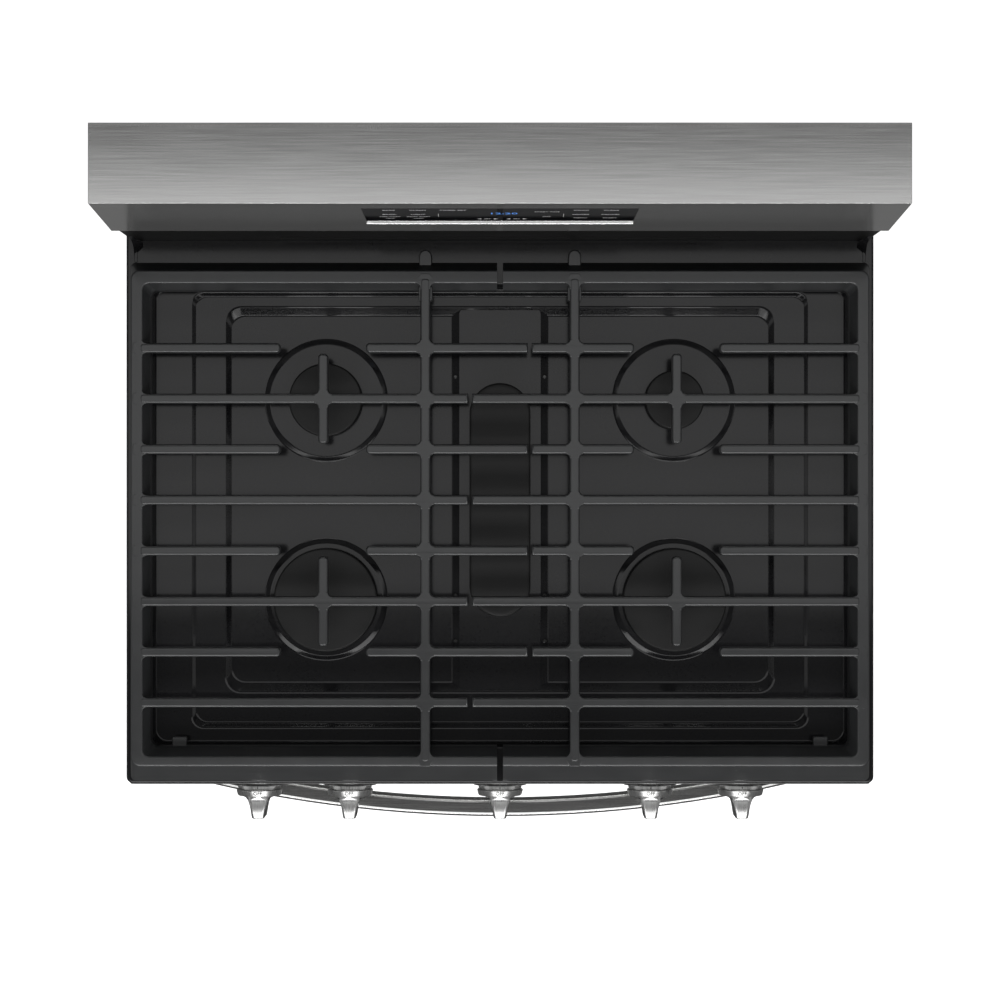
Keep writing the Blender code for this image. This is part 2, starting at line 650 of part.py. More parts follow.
def make_burner_caps():
    for name, (x, y) in burner_places().items():
        low = seat_height(name) + HEAD_HEIGHT + GAP
        high = low + CAP_THICKNESS
        if name == "center":
            rings = [oval_ring(0.001, low), oval_ring(0, low + 0.001), oval_ring(0, high - 0.002)]
            cap = stack([*rings, oval_ring(0.0006, high - 0.0006), oval_ring(0.002, high)])
        else:
            radius = CAP_RADII[name]
            outline = [(0, low), (radius - 0.001, low), (radius, low + 0.001), (radius, high - 0.002)]
            outline += [(radius - 0.0006, high - 0.0006), (radius - 0.002, high), (0, high)]
            cap = turned(outline, (x, y, 0), "Z", 28)
        name_part(cap, "burner_cap_" + name, "cap_enamel", (x, y, low), smooth=True)


# ---- Grates ----
def rail_outline(foot_out, top_out, top_in, foot_in, sign, base, drop):
    """A rail's cross-section: a low foot, two slopes and a flat top, as (place, height) pairs."""
    foot, apron, top = RIM_Z + GAP + drop, RIM_Z + RAIL_APRON - drop, GRATE_TOP_Z - drop
    outer = [(foot_out, foot), (foot_out, apron), (top_out, top)]
    outline = [*outer, (top_in, top), (foot_in, apron), (foot_in, foot)]
    return [(base + sign * place, height) for place, height in outline]


def bar_outline(middle, drop):
    """A bar's cross-section: straight sides and a narrower, sloped top."""
    low, high = GRATE_TOP_Z - BAR_DEPTH - drop, GRATE_TOP_Z - drop
    wide, narrow, shoulder = BAR_WIDTH / 2, BAR_TOP_WIDTH / 2, high - BAR_SHOULDER
    left = [(middle - wide, low), (middle - wide, shoulder), (middle - narrow, high)]
    right = [(middle + narrow, high), (middle + wide, shoulder), (middle + wide, low)]
    return left + right


def bar(ends, y):
    """A bar from side to side."""
    return prism(bar_outline(y, BAR_DROP), "X", min(ends), max(ends))


def spine(x, y_low, y_high):
    """A bar from front to back."""
    return prism(bar_outline(x, 2 * BAR_DROP), "Y", y_low, y_high)


def bar_rows():
    """Every row's place, and whether its bars stop round the burners."""
    rear, front = REAR_BURNER_Y, FRONT_BURNER_Y
    return [
        (rear + BAR_PITCH, True),
        (rear, False),
        (rear - BAR_PITCH, True),
        (MIDDLE_Y, False),
        (front + BAR_PITCH, True),
        (front, False),
        (front - BAR_PITCH, True),
        (front - 2 * BAR_PITCH, False),
    ]


def grate_lug(side):
    """The tongue behind the rear rail that the grate turns on."""
    x = side * LUG_X
    low, high = LUG_Z - LUG_HALF_THICKNESS, LUG_Z + LUG_HALF_THICKNESS
    root = RISER_Y - REAR_RAIL[2]
    outline = [(x + LUG_RADIUS, root), (x + LUG_RADIUS, LUG_Y)]
    for step in range(1, 8):
        angle = math.pi * step / 8
        outline.append((x + LUG_RADIUS * math.cos(angle), LUG_Y + LUG_RADIUS * math.sin(angle)))
    outline += [(x - LUG_RADIUS, LUG_Y), (x - LUG_RADIUS, root)]
    return prism(outline, "Z", low, high)


def make_grate(side, name):
    """One half of the hob's grate: three rails, bars across and one bar from back to front."""
    outer = side * (HALF - RAIL_OUTSIDE)
    in_rail = side * (HALF - (RAIL_TOP_OUT + RAIL_TOP_IN) / 2)
    ends = sorted((side * SEAM / 2, outer))
    rear = prism(rail_outline(*REAR_RAIL, -1, RISER_Y, 0), "X", *ends)
    front = prism(rail_outline(*FRONT_RAIL, 1, LIP_Y, 0), "X", *ends)
    places = (RAIL_OUTSIDE + BAR_DROP, RAIL_TOP_OUT, RAIL_TOP_IN, RAIL_FOOT_IN)
    side_section = rail_outline(*places, -side, side * HALF, BAR_DROP / 2)
    rail = prism(side_section, "Y", LIP_Y + FRONT_RAIL[1], RISER_Y - REAR_RAIL[1])
    spine_ends = (LIP_Y + FRONT_RAIL[1] + BAR_SHOULDER, RISER_Y - REAR_RAIL[1] - BAR_SHOULDER)
    pieces = [front, rail, spine(side * SPINE_X, *spine_ends)]
    for y, broken in bar_rows():
        tip = (FINGER_REACH if broken else -FINGER_REACH) + side * FINGER_GAP / 2
        if broken:
            pieces.append(bar((tip, side * (BURNER_X - BURNER_BREAK)), y))
            pieces.append(bar((side * (BURNER_X + BURNER_BREAK), in_rail), y))
        else:
            pieces.append(bar((tip, in_rail), y))
    for y in (REAR_BURNER_Y, FRONT_BURNER_Y):
        pieces.append(spine(side * BURNER_X, y - CROSS_FINGER, y + CROSS_FINGER))
    pieces.append(grate_lug(side))
    name_part(join(rear, *pieces), "grate_" + name, "cast_iron", (side * LUG_X, LUG_Y, LUG_Z))


# ---- Manifold panel, gas train and knobs ----
def make_manifold_panel():
    low = (-FACE_HALF, PANEL_FACE_Y, PANEL_BOTTOM_Z)
    high = (FACE_HALF, PANEL_FACE_Y + MANIFOLD_PANEL_DEPTH, PANEL_TOP_Z)
    panel = tray(low, high, SHEET, "+Y")
    face = PANEL_FACE_Y
    bezels = []
    wells = []
    for x in KNOB_POSITIONS:
        bezels.append(rod((x, 0, KNOB_Z), BEZEL_RADIUS, face - BEZEL_DEPTH, face + SHEET / 2, "Y", 28))
        wide, narrow, step = SKIRT_RADIUS + 2 * RUN, STEM_RADIUS + 6 * RUN, face - BEZEL_FLOOR
        well = [(0, face - PAST), (wide, face - PAST), (wide, step)]
        hole = [(narrow, step), (narrow, face + PAST), (0, face + PAST)]
        wells.append(turned(well + hole, (x, 0, KNOB_Z), "Y", 28))
    panel = cut(join(panel, *bezels, solver="MANIFOLD"), *wells, solver="MANIFOLD")
    name_part(panel, "manifold_panel", "stainless")


def make_gas_manifold():
    """The supply pipe with a valve body clamped on it behind each knob."""
    run = [
        (KNOB_POSITIONS[0] - 0.03, PIPE_Y, PIPE_Z),
        (SUPPLY_X, PIPE_Y, PIPE_Z),
        (SUPPLY_X, SUPPLY_Y, PIPE_Z),
        (SUPPLY_X, SUPPLY_Y, REGULATOR_TOP + GAP),
    ]
    manifold = pipe(run, PIPE_RADIUS)
    for x in KNOB_POSITIONS:
        low = (x - VALVE_HALF_WIDTH, VALVE_FRONT_Y, PIPE_Z + PIPE_RADIUS * 0.37)
        body = block(low, (x + VALVE_HALF_WIDTH, VALVE_BACK_Y, KNOB_Z + VALVE_HALF_WIDTH))
        stub = rod((x, 0, KNOB_Z), TUBE_RADIUS, VALVE_BACK_Y - 0.004, VALVE_BACK_Y + 0.006, "Y", 16)
        socket = rod((x, 0, KNOB_Z), STEM_RADIUS + RUN, VALVE_FRONT_Y - PAST, VALVE_FRONT_Y + 0.020, "Y", 16)
        manifold = join(manifold, cut(join(body, stub), socket))
    name_part(manifold, "gas_manifold", "aluminium")


def make_gas_regulator():
    """The pressure regulator on the end of the supply pipe, with the gas inlet under it."""
    body = REGULATOR_RADIUS
    profile = [
        (0, REGULATOR_TOP - 0.100),
        (PIPE_RADIUS + 0.002, REGULATOR_TOP - 0.100),
        (PIPE_RADIUS + 0.002, REGULATOR_TOP - 0.075),
        (body * 0.7, REGULATOR_TOP - 0.070),
        (body, REGULATOR_TOP - 0.055),
        (body, REGULATOR_TOP - 0.035),
        (body * 0.7, REGULATOR_TOP - 0.020),
        (PIPE_RADIUS + 0.003, REGULATOR_TOP - 0.016),
        (PIPE_RADIUS + 0.003, REGULATOR_TOP),
        (0, REGULATOR_TOP),
    ]
    regulator = turned(profile, (SUPPLY_X, SUPPLY_Y, 0), "Z")
    inlet = rod((SUPPLY_X, SUPPLY_Y, 0), PIPE_RADIUS - 0.002, 0, REGULATOR_TOP - 0.080, "Z", 16)
    name_part(cut(regulator, inlet), "gas_regulator", "brass", smooth=True)


def make_valve_stems():
    start = VALVE_FRONT_Y + 0.020 - STEM_TRAVEL - 0.002
    end = PANEL_FACE_Y - BEZEL_DEPTH - 0.010
    for name, x in zip(KNOB_NAMES, KNOB_POSITIONS):
        stem = rod((x, 0, KNOB_Z), STEM_RADIUS, end, start, "Y", 16)
        flat_low = (x - PAST, end - 0.001, KNOB_Z + STEM_RADIUS * 0.6)
        flat = block(flat_low, (x + PAST, end + 0.009, KNOB_Z + PAST))
        name_part(cut(stem, flat), "valve_stem_" + name, "brass", (x, end, KNOB_Z), smooth=True)


def make_knobs():
    back = PANEL_FACE_Y - BEZEL_DEPTH
    front = back - KNOB_DEPTH
    collar = back - SKIRT_DEPTH
    for name, x in zip(KNOB_NAMES, KNOB_POSITIONS):
        profile = [
            (0, back),
            (SKIRT_RADIUS, back),
            (SKIRT_RADIUS, collar + 0.002),
            (SKIRT_RADIUS - 0.002, collar),
            (SKIRT_RADIUS - 0.006, collar - 0.002),
            (BLADE_BASE + 0.004, collar - 0.006),
            (BLADE_BASE, collar - 0.010),
            (0, collar - 0.010),
        ]
        knob = turned(profile, (x, 0, KNOB_Z), "Y", 28)
        rings = []
        for half, length, level in (
            (BLADE_BASE, BLADE_HALF_LENGTH, collar + 0.002),
            (BLADE_BASE - 0.001, BLADE_HALF_LENGTH - 0.001, collar - 0.010),
            (BLADE_TIP + 0.0005, BLADE_HALF_LENGTH - 0.003, front + 0.002),
            (BLADE_TIP - 0.001, BLADE_HALF_LENGTH - 0.006, front),
        ):
            outline = round_box(x - half, x + half, KNOB_Z - length, KNOB_Z + length, half * 0.6, steps=3)
            rings.append([(px, level, pz) for px, pz in outline])
        socket = rod((x, 0, KNOB_Z), STEM_RADIUS + RUN, back - 0.012, back + PAST, "Y", 16)
        knob = cut(join(knob, stack(rings)), socket)
        name_part(knob, "knob_" + name, "satin_metal", (x, back, KNOB_Z), smooth=True)


# ---- Backguard ----
def face_point(x, up, out):
    """A point on the console's leaning face, from its foot, 'out' in front of it."""
    foot = Vector((x, BACK_Y - CONSOLE_TOP_DEPTH - CONSOLE_LEAN, CONSOLE_FOOT_Z))
    along = Vector((0, CONSOLE_LEAN, CONSOLE_FACE_HEIGHT)).normalized()
    outward = Vector((0, -along.z, along.y))
    return tuple(foot + along * up + outward * out)


def console_outline(wall):
    """The console's section in Y and Z, inside a wall."""
    lean = wall * CONSOLE_LEAN / CONSOLE_FACE_HEIGHT
    face_wall = wall * math.hypot(CONSOLE_LEAN, CONSOLE_FACE_HEIGHT) / CONSOLE_FACE_HEIGHT
    top_y = BACK_Y - CONSOLE_TOP_DEPTH
    return [
        (top_y - CONSOLE_LEAN + face_wall + lean, CONSOLE_FOOT_Z + wall),
        (top_y + face_wall - lean, TOP_Z - wall),
        (BACK_Y + (0.02 if wall else 0.0), TOP_Z - wall),
        (BACK_Y + (0.02 if wall else 0.0), CONSOLE_FOOT_Z + wall),
    ]


def glass_outline(grow):
    """The control glass seen on the face: wider at its top, with rounded lower corners."""
    top, low = GLASS_HALF_WIDTH + grow, GLASS_HALF_WIDTH - GLASS_TAPER + grow
    points = [(top, GLASS_HIGH + grow), (-top, GLASS_HIGH + grow)]
    for side, start in ((-1, 180), (1, 270)):
        for step in range(5):
            angle = math.radians(start + 90 * step / 4)
            x = side * (low - GLASS_CORNER) + GLASS_CORNER * math.cos(angle)
            points.append((x, GLASS_LOW - grow + GLASS_CORNER + GLASS_CORNER * math.sin(angle)))
    return points


def face_slab(outline, inner, outer):
    return stack([[face_point(x, up, depth) for x, up in outline] for depth in (inner, outer)])


def make_console_shell():
    shell = prism(console_outline(0.0), "X", -HALF, HALF)
    hollow = prism(console_outline(SHEET), "X", -HALF + SHEET, HALF - SHEET)
    inside = HALF - SHEET
    back_low = (-inside, BACK_Y - SHEET - GAP, CONSOLE_FOOT_Z - PAST)
    back = block(back_low, (inside, BACK_Y + PAST, TOP_Z - SHEET))
    window = face_slab(glass_outline(GAP), -0.004, 0.004)
    name_part(cut(shell, hollow, back, window), "console_shell", "stainless")


def make_control_glass():
    name_part(face_slab(glass_outline(0.0), -SHEET - 0.002, 0.0004), "control_glass", "black_glass")


def make_control_board():
    half, low, high = BOARD_HALF_WIDTH, GLASS_LOW + 0.008, GLASS_HIGH - 0.008
    outline = [(-half, low), (half, low), (half, high), (-half, high)]
    inner = -SHEET - 0.002 - GAP
    name_part(face_slab(outline, inner - BOARD_THICKNESS, inner), "control_board", "circuit_board")


def make_backguard_riser():
    """The black panel between the cooktop and the console, with the oven's vent slots."""
    half = HALF - RISER_INSET
    low = (-half, RISER_Y, RIM_Z + GAP)
    high = (half, BODY_BACK_Y, CONSOLE_FOOT_Z - GAP)
    riser = tray(low, high, SHEET, "+Y")
    slots = []
    for side in (-1, 0, 1):
        x = side * (2 * VENT_HALF_WIDTH + 0.012)
        slots.append(
            block(
                (x - VENT_HALF_WIDTH, RISER_Y - PAST, RIM_Z + 0.030),
                (x + VENT_HALF_WIDTH, RISER_Y + PAST, RIM_Z + 0.030 + VENT_HEIGHT),
            )
        )
    duct = FLUE_HALF_WIDTH + 0.004
    duct_low = (-duct, RISER_Y + DECK_UNDER_RISER + 0.002, RIM_Z - PAST)
    slots.append(block(duct_low, (duct, BODY_BACK_Y + PAST, RIM_Z + PAST)))
    name_part(cut(riser, *slots), "backguard_riser", "black_paint")


# ---- Oven ----
def rib_levels():
    """Heights of the tops of the rack supports."""
    return [OVEN_FLOOR_Z + RIB_FIRST + RIB_PITCH * step for step in range(RIB_COUNT)]


def make_oven_cavity():
    low = (-OVEN_HALF_WIDTH - SHEET, OVEN_FRONT_Y, OVEN_FLOOR_Z - SHEET)
    high = (OVEN_HALF_WIDTH + SHEET, OVEN_BACK_Y + SHEET, OVEN_TOP_Z + SHEET)
    cavity = tray(low, high, SHEET, "-Y")
    ribs = []
    for side in (-1, 1):
        xs = sorted((side * (OVEN_HALF_WIDTH - RIB_REACH), side * (OVEN_HALF_WIDTH + SHEET / 2)))
        for level in [*rib_levels(), OVEN_FLOOR_Z + PLATE_RISE]:
            low = (xs[0], OVEN_FRONT_Y + 0.004, level - RIB_HEIGHT)
            ribs.append(block(low, (xs[1], OVEN_BACK_Y + SHEET / 2, level)))
    cavity = join(cavity, *ribs)
    name_part(cut(cavity, *oven_back_cutters(RUN)), "oven_cavity", "oven_enamel")


def oven_back_cutters(grow):
    """Cutters for what passes through the oven's back wall: burner tubes, probe, lamp and flue."""
    ends = (OVEN_BACK_Y - 0.004, OVEN_BACK_Y + SHEET + INSULATION + PAST)
    return [
        rod((0, 0, bake_height()), BAKE_TUBE + grow, *ends, "Y", 16),
        rod((BROIL_TUBE_X, 0, broil_height()), BROIL_TUBE + grow, *ends, "Y", 16),
        rod((*probe_place(),), PROBE_RADIUS + grow, *ends, "Y", 12),
        rod((*lamp_place(),), LAMP_RADIUS * 0.6 + grow, *ends, "Y", 16),
        block(
            (-FLUE_HALF_WIDTH - grow, ends[0], flue_low() - grow),
            (FLUE_HALF_WIDTH + grow, ends[1], flue_low() + FLUE_DEPTH + grow),
        ),
    ]


def bake_height():
    return OVEN_FLOOR_Z + PLATE_RISE / 2


def broil_height():
    return OVEN_TOP_Z - 0.008 - BROIL_HEIGHT / 2


def probe_place():
    return (OVEN_HALF_WIDTH * 0.6, 0.0, OVEN_TOP_Z - 0.060)


def lamp_place():
    return (-OVEN_HALF_WIDTH + 0.060, 0.0, OVEN_TOP_Z - 0.060)


def flue_low():
    return OVEN_TOP_Z - 0.080


def make_oven_insulation():
    """The blanket round the oven, open at the front."""
    gap = SHEET + GAP
    out = gap + INSULATION
    low = (-OVEN_HALF_WIDTH - out, BODY_FRONT_Y + FRAME_FOLD + GAP, OVEN_FLOOR_Z - out)
    high = (OVEN_HALF_WIDTH + out, OVEN_BACK_Y + out, OVEN_TOP_Z + out)
    blanket = tray(low, high, INSULATION, "-Y")
    name_part(cut(blanket, *oven_back_cutters(0.002)), "oven_insulation", "insulation")


def make_oven_floor_plate():
    half = OVEN_HALF_WIDTH - 0.003
    level = OVEN_FLOOR_Z + PLATE_RISE + GAP
    plate = block((-half, OVEN_FRONT_Y + 0.010, level), (half, OVEN_BACK_Y - 0.004, level + PLATE))
    slots = []
    for side in (-1, 1):
        for y in (0.25, 0.75):
            middle = OVEN_FRONT_Y + (OVEN_BACK_Y - OVEN_FRONT_Y) * y
            x = side * (half - 0.035)
            slot_low = (x - 0.008, middle - 0.07, level - PAST)
            slots.append(block(slot_low, (x + 0.008, middle + 0.07, level + PAST)))
    name_part(cut(plate, *slots), "oven_floor_plate", "oven_enamel")


def make_bake_burner():
    back = OVEN_BACK_Y + SHEET + INSULATION + 0.006
    tube = rod((0, 0, bake_height()), BAKE_TUBE, OVEN_FRONT_Y + 0.040, back, "Y", 16)
    foot = block(
        (-0.006, OVEN_FRONT_Y + 0.060, OVEN_FLOOR_Z + GAP),
        (0.006, OVEN_FRONT_Y + 0.075, bake_height()),
    )
    name_part(join(tube, foot), "bake_burner", "galvanised", smooth=True)


def make_broil_burner():
    back = OVEN_BACK_Y + SHEET + INSULATION + 0.006
    middle = (OVEN_FRONT_Y + OVEN_BACK_Y) / 2
    low = (-BROIL_HALF_WIDTH, middle - 0.120, broil_height() - BROIL_HEIGHT / 2)
    box = block(low, (BROIL_HALF_WIDTH, middle + 0.120, broil_height() + BROIL_HEIGHT / 2))
    tube = rod((BROIL_TUBE_X, 0, broil_height()), BROIL_TUBE, middle + 0.100, back, "Y", 16)
    name_part(join(box, tube), "broil_burner", "galvanised")


def make_oven_lamp_lens():
    x, _, z = lamp_place()
    wall = OVEN_BACK_Y - GAP
    rim = [(0, wall), (LAMP_RADIUS, wall), (LAMP_RADIUS, wall - 0.006)]
    dome = [(LAMP_RADIUS * 0.8, wall - 0.014), (0, wall - 0.018)]
    name_part(turned(rim + dome, (x, 0, z), "Y"), "oven_lamp_lens", "clear_glass", smooth=True)


def make_temperature_probe():
    x, _, z = probe_place()
    ends = (OVEN_BACK_Y - PROBE_LENGTH, OVEN_BACK_Y + SHEET + INSULATION)
    probe = rod((x, 0, z), PROBE_RADIUS, *ends, "Y", 12)
    wall = OVEN_BACK_Y - GAP
    plate = block((x - 0.012, wall - 0.0015, z - 0.008), (x + 0.012, wall, z + 0.008))
    name_part(join(probe, plate), "temperature_probe", "chrome")


def make_oven_flue():
    """The duct from the oven's back wall up to the vent slots behind the riser."""
    front = OVEN_BACK_Y - GAP
    rise_y = RISER_Y + DECK_UNDER_RISER + 0.004
    back = rise_y + FLUE_DEPTH
    low, top = flue_low(), RIM_Z + 0.025
    wall = SHEET

    def section(inset, past):
        return [
            (front - past, low + inset),
            (back - inset, low + inset),
            (back - inset, top + past),
            (rise_y + inset, top + past),
            (rise_y + inset, low + FLUE_DEPTH - inset),
            (front - past, low + FLUE_DEPTH - inset),
        ]

    half = FLUE_HALF_WIDTH - GAP
    duct = prism(section(GAP, 0.0), "X", -half, half)
    bore = prism(section(wall + GAP, 0.01), "X", -half + wall, half - wall)
    name_part(cut(duct, bore), "oven_flue", "galvanised")


def make_oven_rack(name, rib):
    """A chromed wire rack that slides on the supports on the oven's side walls."""
    level = rib_levels()[rib] + GAP + RACK_ROD
    half = OVEN_HALF_WIDTH - 0.0065 - RACK_ROD
    front, back = OVEN_FRONT_Y + RACK_FRONT_CLEARANCE, OVEN_BACK_Y - RACK_BACK_CLEARANCE
    rods = []
    for x in (-half, half):
        rods.append(rod((x, 0, level), RACK_ROD, front - RACK_ROD, back + RACK_ROD, "Y", 8))
    for y in (front, (front + back) / 2, back):
        rods.append(rod((0, y, level - 0.0002), RACK_ROD * 0.9, -half, half, "X", 6))
    for step in range(1, RACK_WIRES + 1):
        x = -half + 2 * half * step / (RACK_WIRES + 1)
        rods.append(rod((x, 0, level + RACK_ROD * 0.45), RACK_WIRE, front - 0.0007, back + 0.0007, "Y", 6))
    name_part(join(*rods), name, "chrome", (0, front, level))


# ---- Oven door ----
def window_cutter(grow, low_y, high_y):
    half = FACE_HALF - WINDOW_SIDE + grow
    low, high = DOOR_BOTTOM_Z + WINDOW_BELOW - grow, DOOR_TOP_Z - WINDOW_ABOVE + grow
    outline = round_box(-half, half, low, high, WINDOW_CORNER)
    return prism(outline, "Y", low_y, high_y)


def hinge_notches():
    """Cutters for the slots in the door that its hinge brackets stand in."""
    notches = []
    for side in (-1, 1):
        inner = FACE_HALF - HINGE_INSET
        xs = sorted((side * (inner - 0.0015), side * (inner + HINGE_PLATE + 0.0015)))
        top = HINGE_Z + HINGE_BARREL_RADIUS + 0.005
        notches.append(
            block(
                (xs[0], HINGE_Y - HINGE_BARREL_RADIUS - 0.005, DOOR_BOTTOM_Z - PAST),
                (xs[1], DOOR_BACK_Y + PAST, top),
            )
        )
    return notches


def hinge_origin():
    return (0.0, HINGE_Y, HINGE_Z)


def make_door_skin():
    low = (-FACE_HALF, DOOR_FACE_Y, DOOR_BOTTOM_Z)
    high = (FACE_HALF, DOOR_FACE_Y + SKIN_DEPTH, DOOR_TOP_Z)
    skin = tray(low, high, SHEET, "+Y")
    window = window_cutter(0.0, DOOR_FACE_Y - PAST, DOOR_FACE_Y + SHEET + 0.002)
    name_part(cut(skin, window, *hinge_notches()), "door_skin", "stainless", hinge_origin())


def make_door_liner():
    low = (-FACE_HALF, DOOR_FACE_Y + SKIN_DEPTH + GAP, DOOR_BOTTOM_Z)
    high = (FACE_HALF, DOOR_BACK_Y, DOOR_TOP_Z)
    liner = tray(low, high, SHEET, "-Y")
    window = window_cutter(-WINDOW_LAP, DOOR_BACK_Y - SHEET - 0.002, DOOR_BACK_Y + PAST)
    name_part(cut(liner, window, *hinge_notches()), "door_liner", "oven_enamel", hinge_origin())


def make_door_glasses():
    outer = DOOR_FACE_Y + SHEET + GAP
    inner = DOOR_BACK_Y - SHEET - GAP
    outer_glass = window_cutter(WINDOW_LAP, outer, outer + GLASS)
    inner_glass = window_cutter(0.0, inner - GLASS, inner)
    name_part(outer_glass, "door_glass_outer", "clear_glass", hinge_origin())
    name_part(inner_glass, "door_glass_inner", "clear_glass", hinge_origin())


def make_door_gasket():
    """The seal between the door and the oven's mouth."""
    out, inside = 0.016, 0.006
    low, high = DOOR_BACK_Y + GAP, DOOR_BACK_Y + DOOR_TO_FRAME - GAP
    half = OVEN_HALF_WIDTH

    def frame(grow):
        return round_box(-half - grow, half + grow, OVEN_FLOOR_Z - grow, OVEN_TOP_Z + grow, 0.012 + grow)

    gasket = cut(prism(frame(out), "Y", low, high), prism(frame(inside), "Y", low - PAST, high + PAST))
    name_part(gasket, "door_gasket", "gasket", hinge_origin())


def make_door_hinges():
    """A plate on each side inside the door, with the barrel that turns on the bracket's pin."""
    for side, name in ((-1, "left"), (1, "right")):
        start = FACE_HALF - HINGE_INSET + HINGE_PLATE + 0.002
        xs = sorted((side * start, side * (start + HINGE_PLATE)))
        top = HINGE_Z + HINGE_ARM_LENGTH
        plate_low = (xs[0], HINGE_Y - HINGE_BARREL_RADIUS, HINGE_Z)
        plate = block(plate_low, (xs[1], HINGE_Y + HINGE_BARREL_RADIUS, top))
        ends = sorted((side * start, side * (start + 2 * HINGE_PLATE)))
        barrel = rod((0, HINGE_Y, HINGE_Z), HINGE_BARREL_RADIUS, *ends, "X", 20)
        bore = rod((0, HINGE_Y, HINGE_Z), HINGE_PIN_RADIUS + RUN, ends[0] - PAST, ends[1] + PAST, "X", 16)
        name_part(cut(join(plate, barrel), bore), "door_hinge_" + name, "galvanised", hinge_origin())


def handle_front(x):
    """The bowed handle's front, seen from above."""
    return HANDLE_FRONT_Y + HANDLE_RADIUS - math.sqrt(HANDLE_RADIUS**2 - x**2)


def make_door_handle():
    low, high = HANDLE_Z - HANDLE_HEIGHT / 2, HANDLE_Z + HANDLE_HEIGHT / 2
    steps = 16
    stations = [HANDLE_HALF_SPAN * (2 * step / steps - 1) for step in range(steps + 1)]
    front = [(x, handle_front(x)) for x in stations]
    back = [(x, handle_front(x) + HANDLE_THICKNESS) for x in reversed(stations)]
    grip = prism(front + back, "Z", low, high)
    posts = []
    for side in (-1, 1):
        xs = sorted((side * (HANDLE_HALF_SPAN - HANDLE_POST), side * (HANDLE_HALF_SPAN - 0.0005)))
        outer_front = handle_front(HANDLE_HALF_SPAN - HANDLE_POST) + HANDLE_THICKNESS / 2
        posts.append(block((xs[0], outer_front, low + 0.001), (xs[1], DOOR_FACE_Y + PAST, high - 0.001)))
    door = block((-HALF, DOOR_FACE_Y - GAP, low - PAST), (HALF, DOOR_BACK_Y, high + PAST))
    name_part(cut(join(grip, *posts), door), "door_handle", "stainless", hinge_origin())


# ---- Storage drawer ----
def make_drawer():
    low = (-FACE_HALF, DOOR_FACE_Y, DRAWER_BOTTOM)
    high = (FACE_HALF, DOOR_FACE_Y + DRAWER_FACE_DEPTH, DRAWER_TOP_Z)
    origin = (0.0, DOOR_FACE_Y, DRAWER_BOTTOM)
    name_part(tray(low, high, SHEET, "+Y"), "drawer_front", "stainless", origin)
    half = BODY_HALF - DRAWER_SIDE_CLEARANCE
    start = DOOR_FACE_Y + DRAWER_FACE_DEPTH + GAP
    low = (-half, start, DRAWER_BOTTOM + REVEAL)
    high = (half, start + DRAWER_BOX_LENGTH, DRAWER_BOTTOM + DRAWER_BOX_HEIGHT)
    name_part(tray(low, high, SHEET, "+Z"), "drawer_box", "galvanised", origin)


def main():
    clear_scene()
    make_base_frame()
    make_leveling_legs()
    make_front_frame()
    make_side_panels()
    make_back_panel()
    make_cooktop()
    make_burner_bases()
    make_burner_caps()
    for side, name in ((-1, "left"), (1, "right")):
        make_grate(side, name)
    make_manifold_panel()
    make_gas_manifold()
    make_gas_regulator()
    make_valve_stems()
    make_knobs()
    make_console_shell()
    make_control_glass()
    make_control_board()
    make_backguard_riser()
    make_oven_cavity()
    make_oven_insulation()
    make_oven_floor_plate()
    make_bake_burner()
    make_broil_burner()
    make_oven_lamp_lens()
    make_temperature_probe()
    make_oven_flue()
    make_oven_rack("oven_rack_lower", LOWER_RACK_RIB)
    make_oven_rack("oven_rack_upper", UPPER_RACK_RIB)
    make_door_skin()
    make_door_liner()
    make_door_glasses()
    make_door_gasket()
    make_door_hinges()
    make_door_handle()
    make_drawer()


main()
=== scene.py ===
import json
import math

import bmesh
import bpy
from mathutils import Matrix, Vector

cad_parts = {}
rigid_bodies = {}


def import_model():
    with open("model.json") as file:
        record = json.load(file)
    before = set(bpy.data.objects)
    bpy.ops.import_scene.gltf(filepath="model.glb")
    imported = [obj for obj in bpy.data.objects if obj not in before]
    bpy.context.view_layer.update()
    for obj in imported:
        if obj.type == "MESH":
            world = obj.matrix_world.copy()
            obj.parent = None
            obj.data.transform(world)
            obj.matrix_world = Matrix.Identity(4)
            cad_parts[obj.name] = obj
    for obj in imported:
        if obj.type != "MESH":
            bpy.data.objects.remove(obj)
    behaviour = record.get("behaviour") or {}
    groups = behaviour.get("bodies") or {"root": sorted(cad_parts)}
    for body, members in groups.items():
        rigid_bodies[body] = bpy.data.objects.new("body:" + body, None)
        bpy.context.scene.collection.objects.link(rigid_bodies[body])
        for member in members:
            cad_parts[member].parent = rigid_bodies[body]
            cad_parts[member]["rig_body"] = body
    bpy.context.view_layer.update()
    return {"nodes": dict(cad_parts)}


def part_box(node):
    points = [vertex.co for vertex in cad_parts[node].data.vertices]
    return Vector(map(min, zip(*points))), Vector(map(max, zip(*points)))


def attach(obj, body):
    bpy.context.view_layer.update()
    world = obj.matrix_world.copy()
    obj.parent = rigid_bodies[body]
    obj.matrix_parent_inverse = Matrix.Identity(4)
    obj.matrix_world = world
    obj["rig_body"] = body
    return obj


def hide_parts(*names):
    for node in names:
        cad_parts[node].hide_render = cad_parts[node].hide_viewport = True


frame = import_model()
nodes = frame["nodes"]

MM = 0.001
BURNERS = ("left_front", "left_rear", "center", "right_rear", "right_front")
LEGS = ("front_left", "front_right", "back_left", "back_right")


def middle_of(node):
    low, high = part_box(node)
    return (low + high) / 2


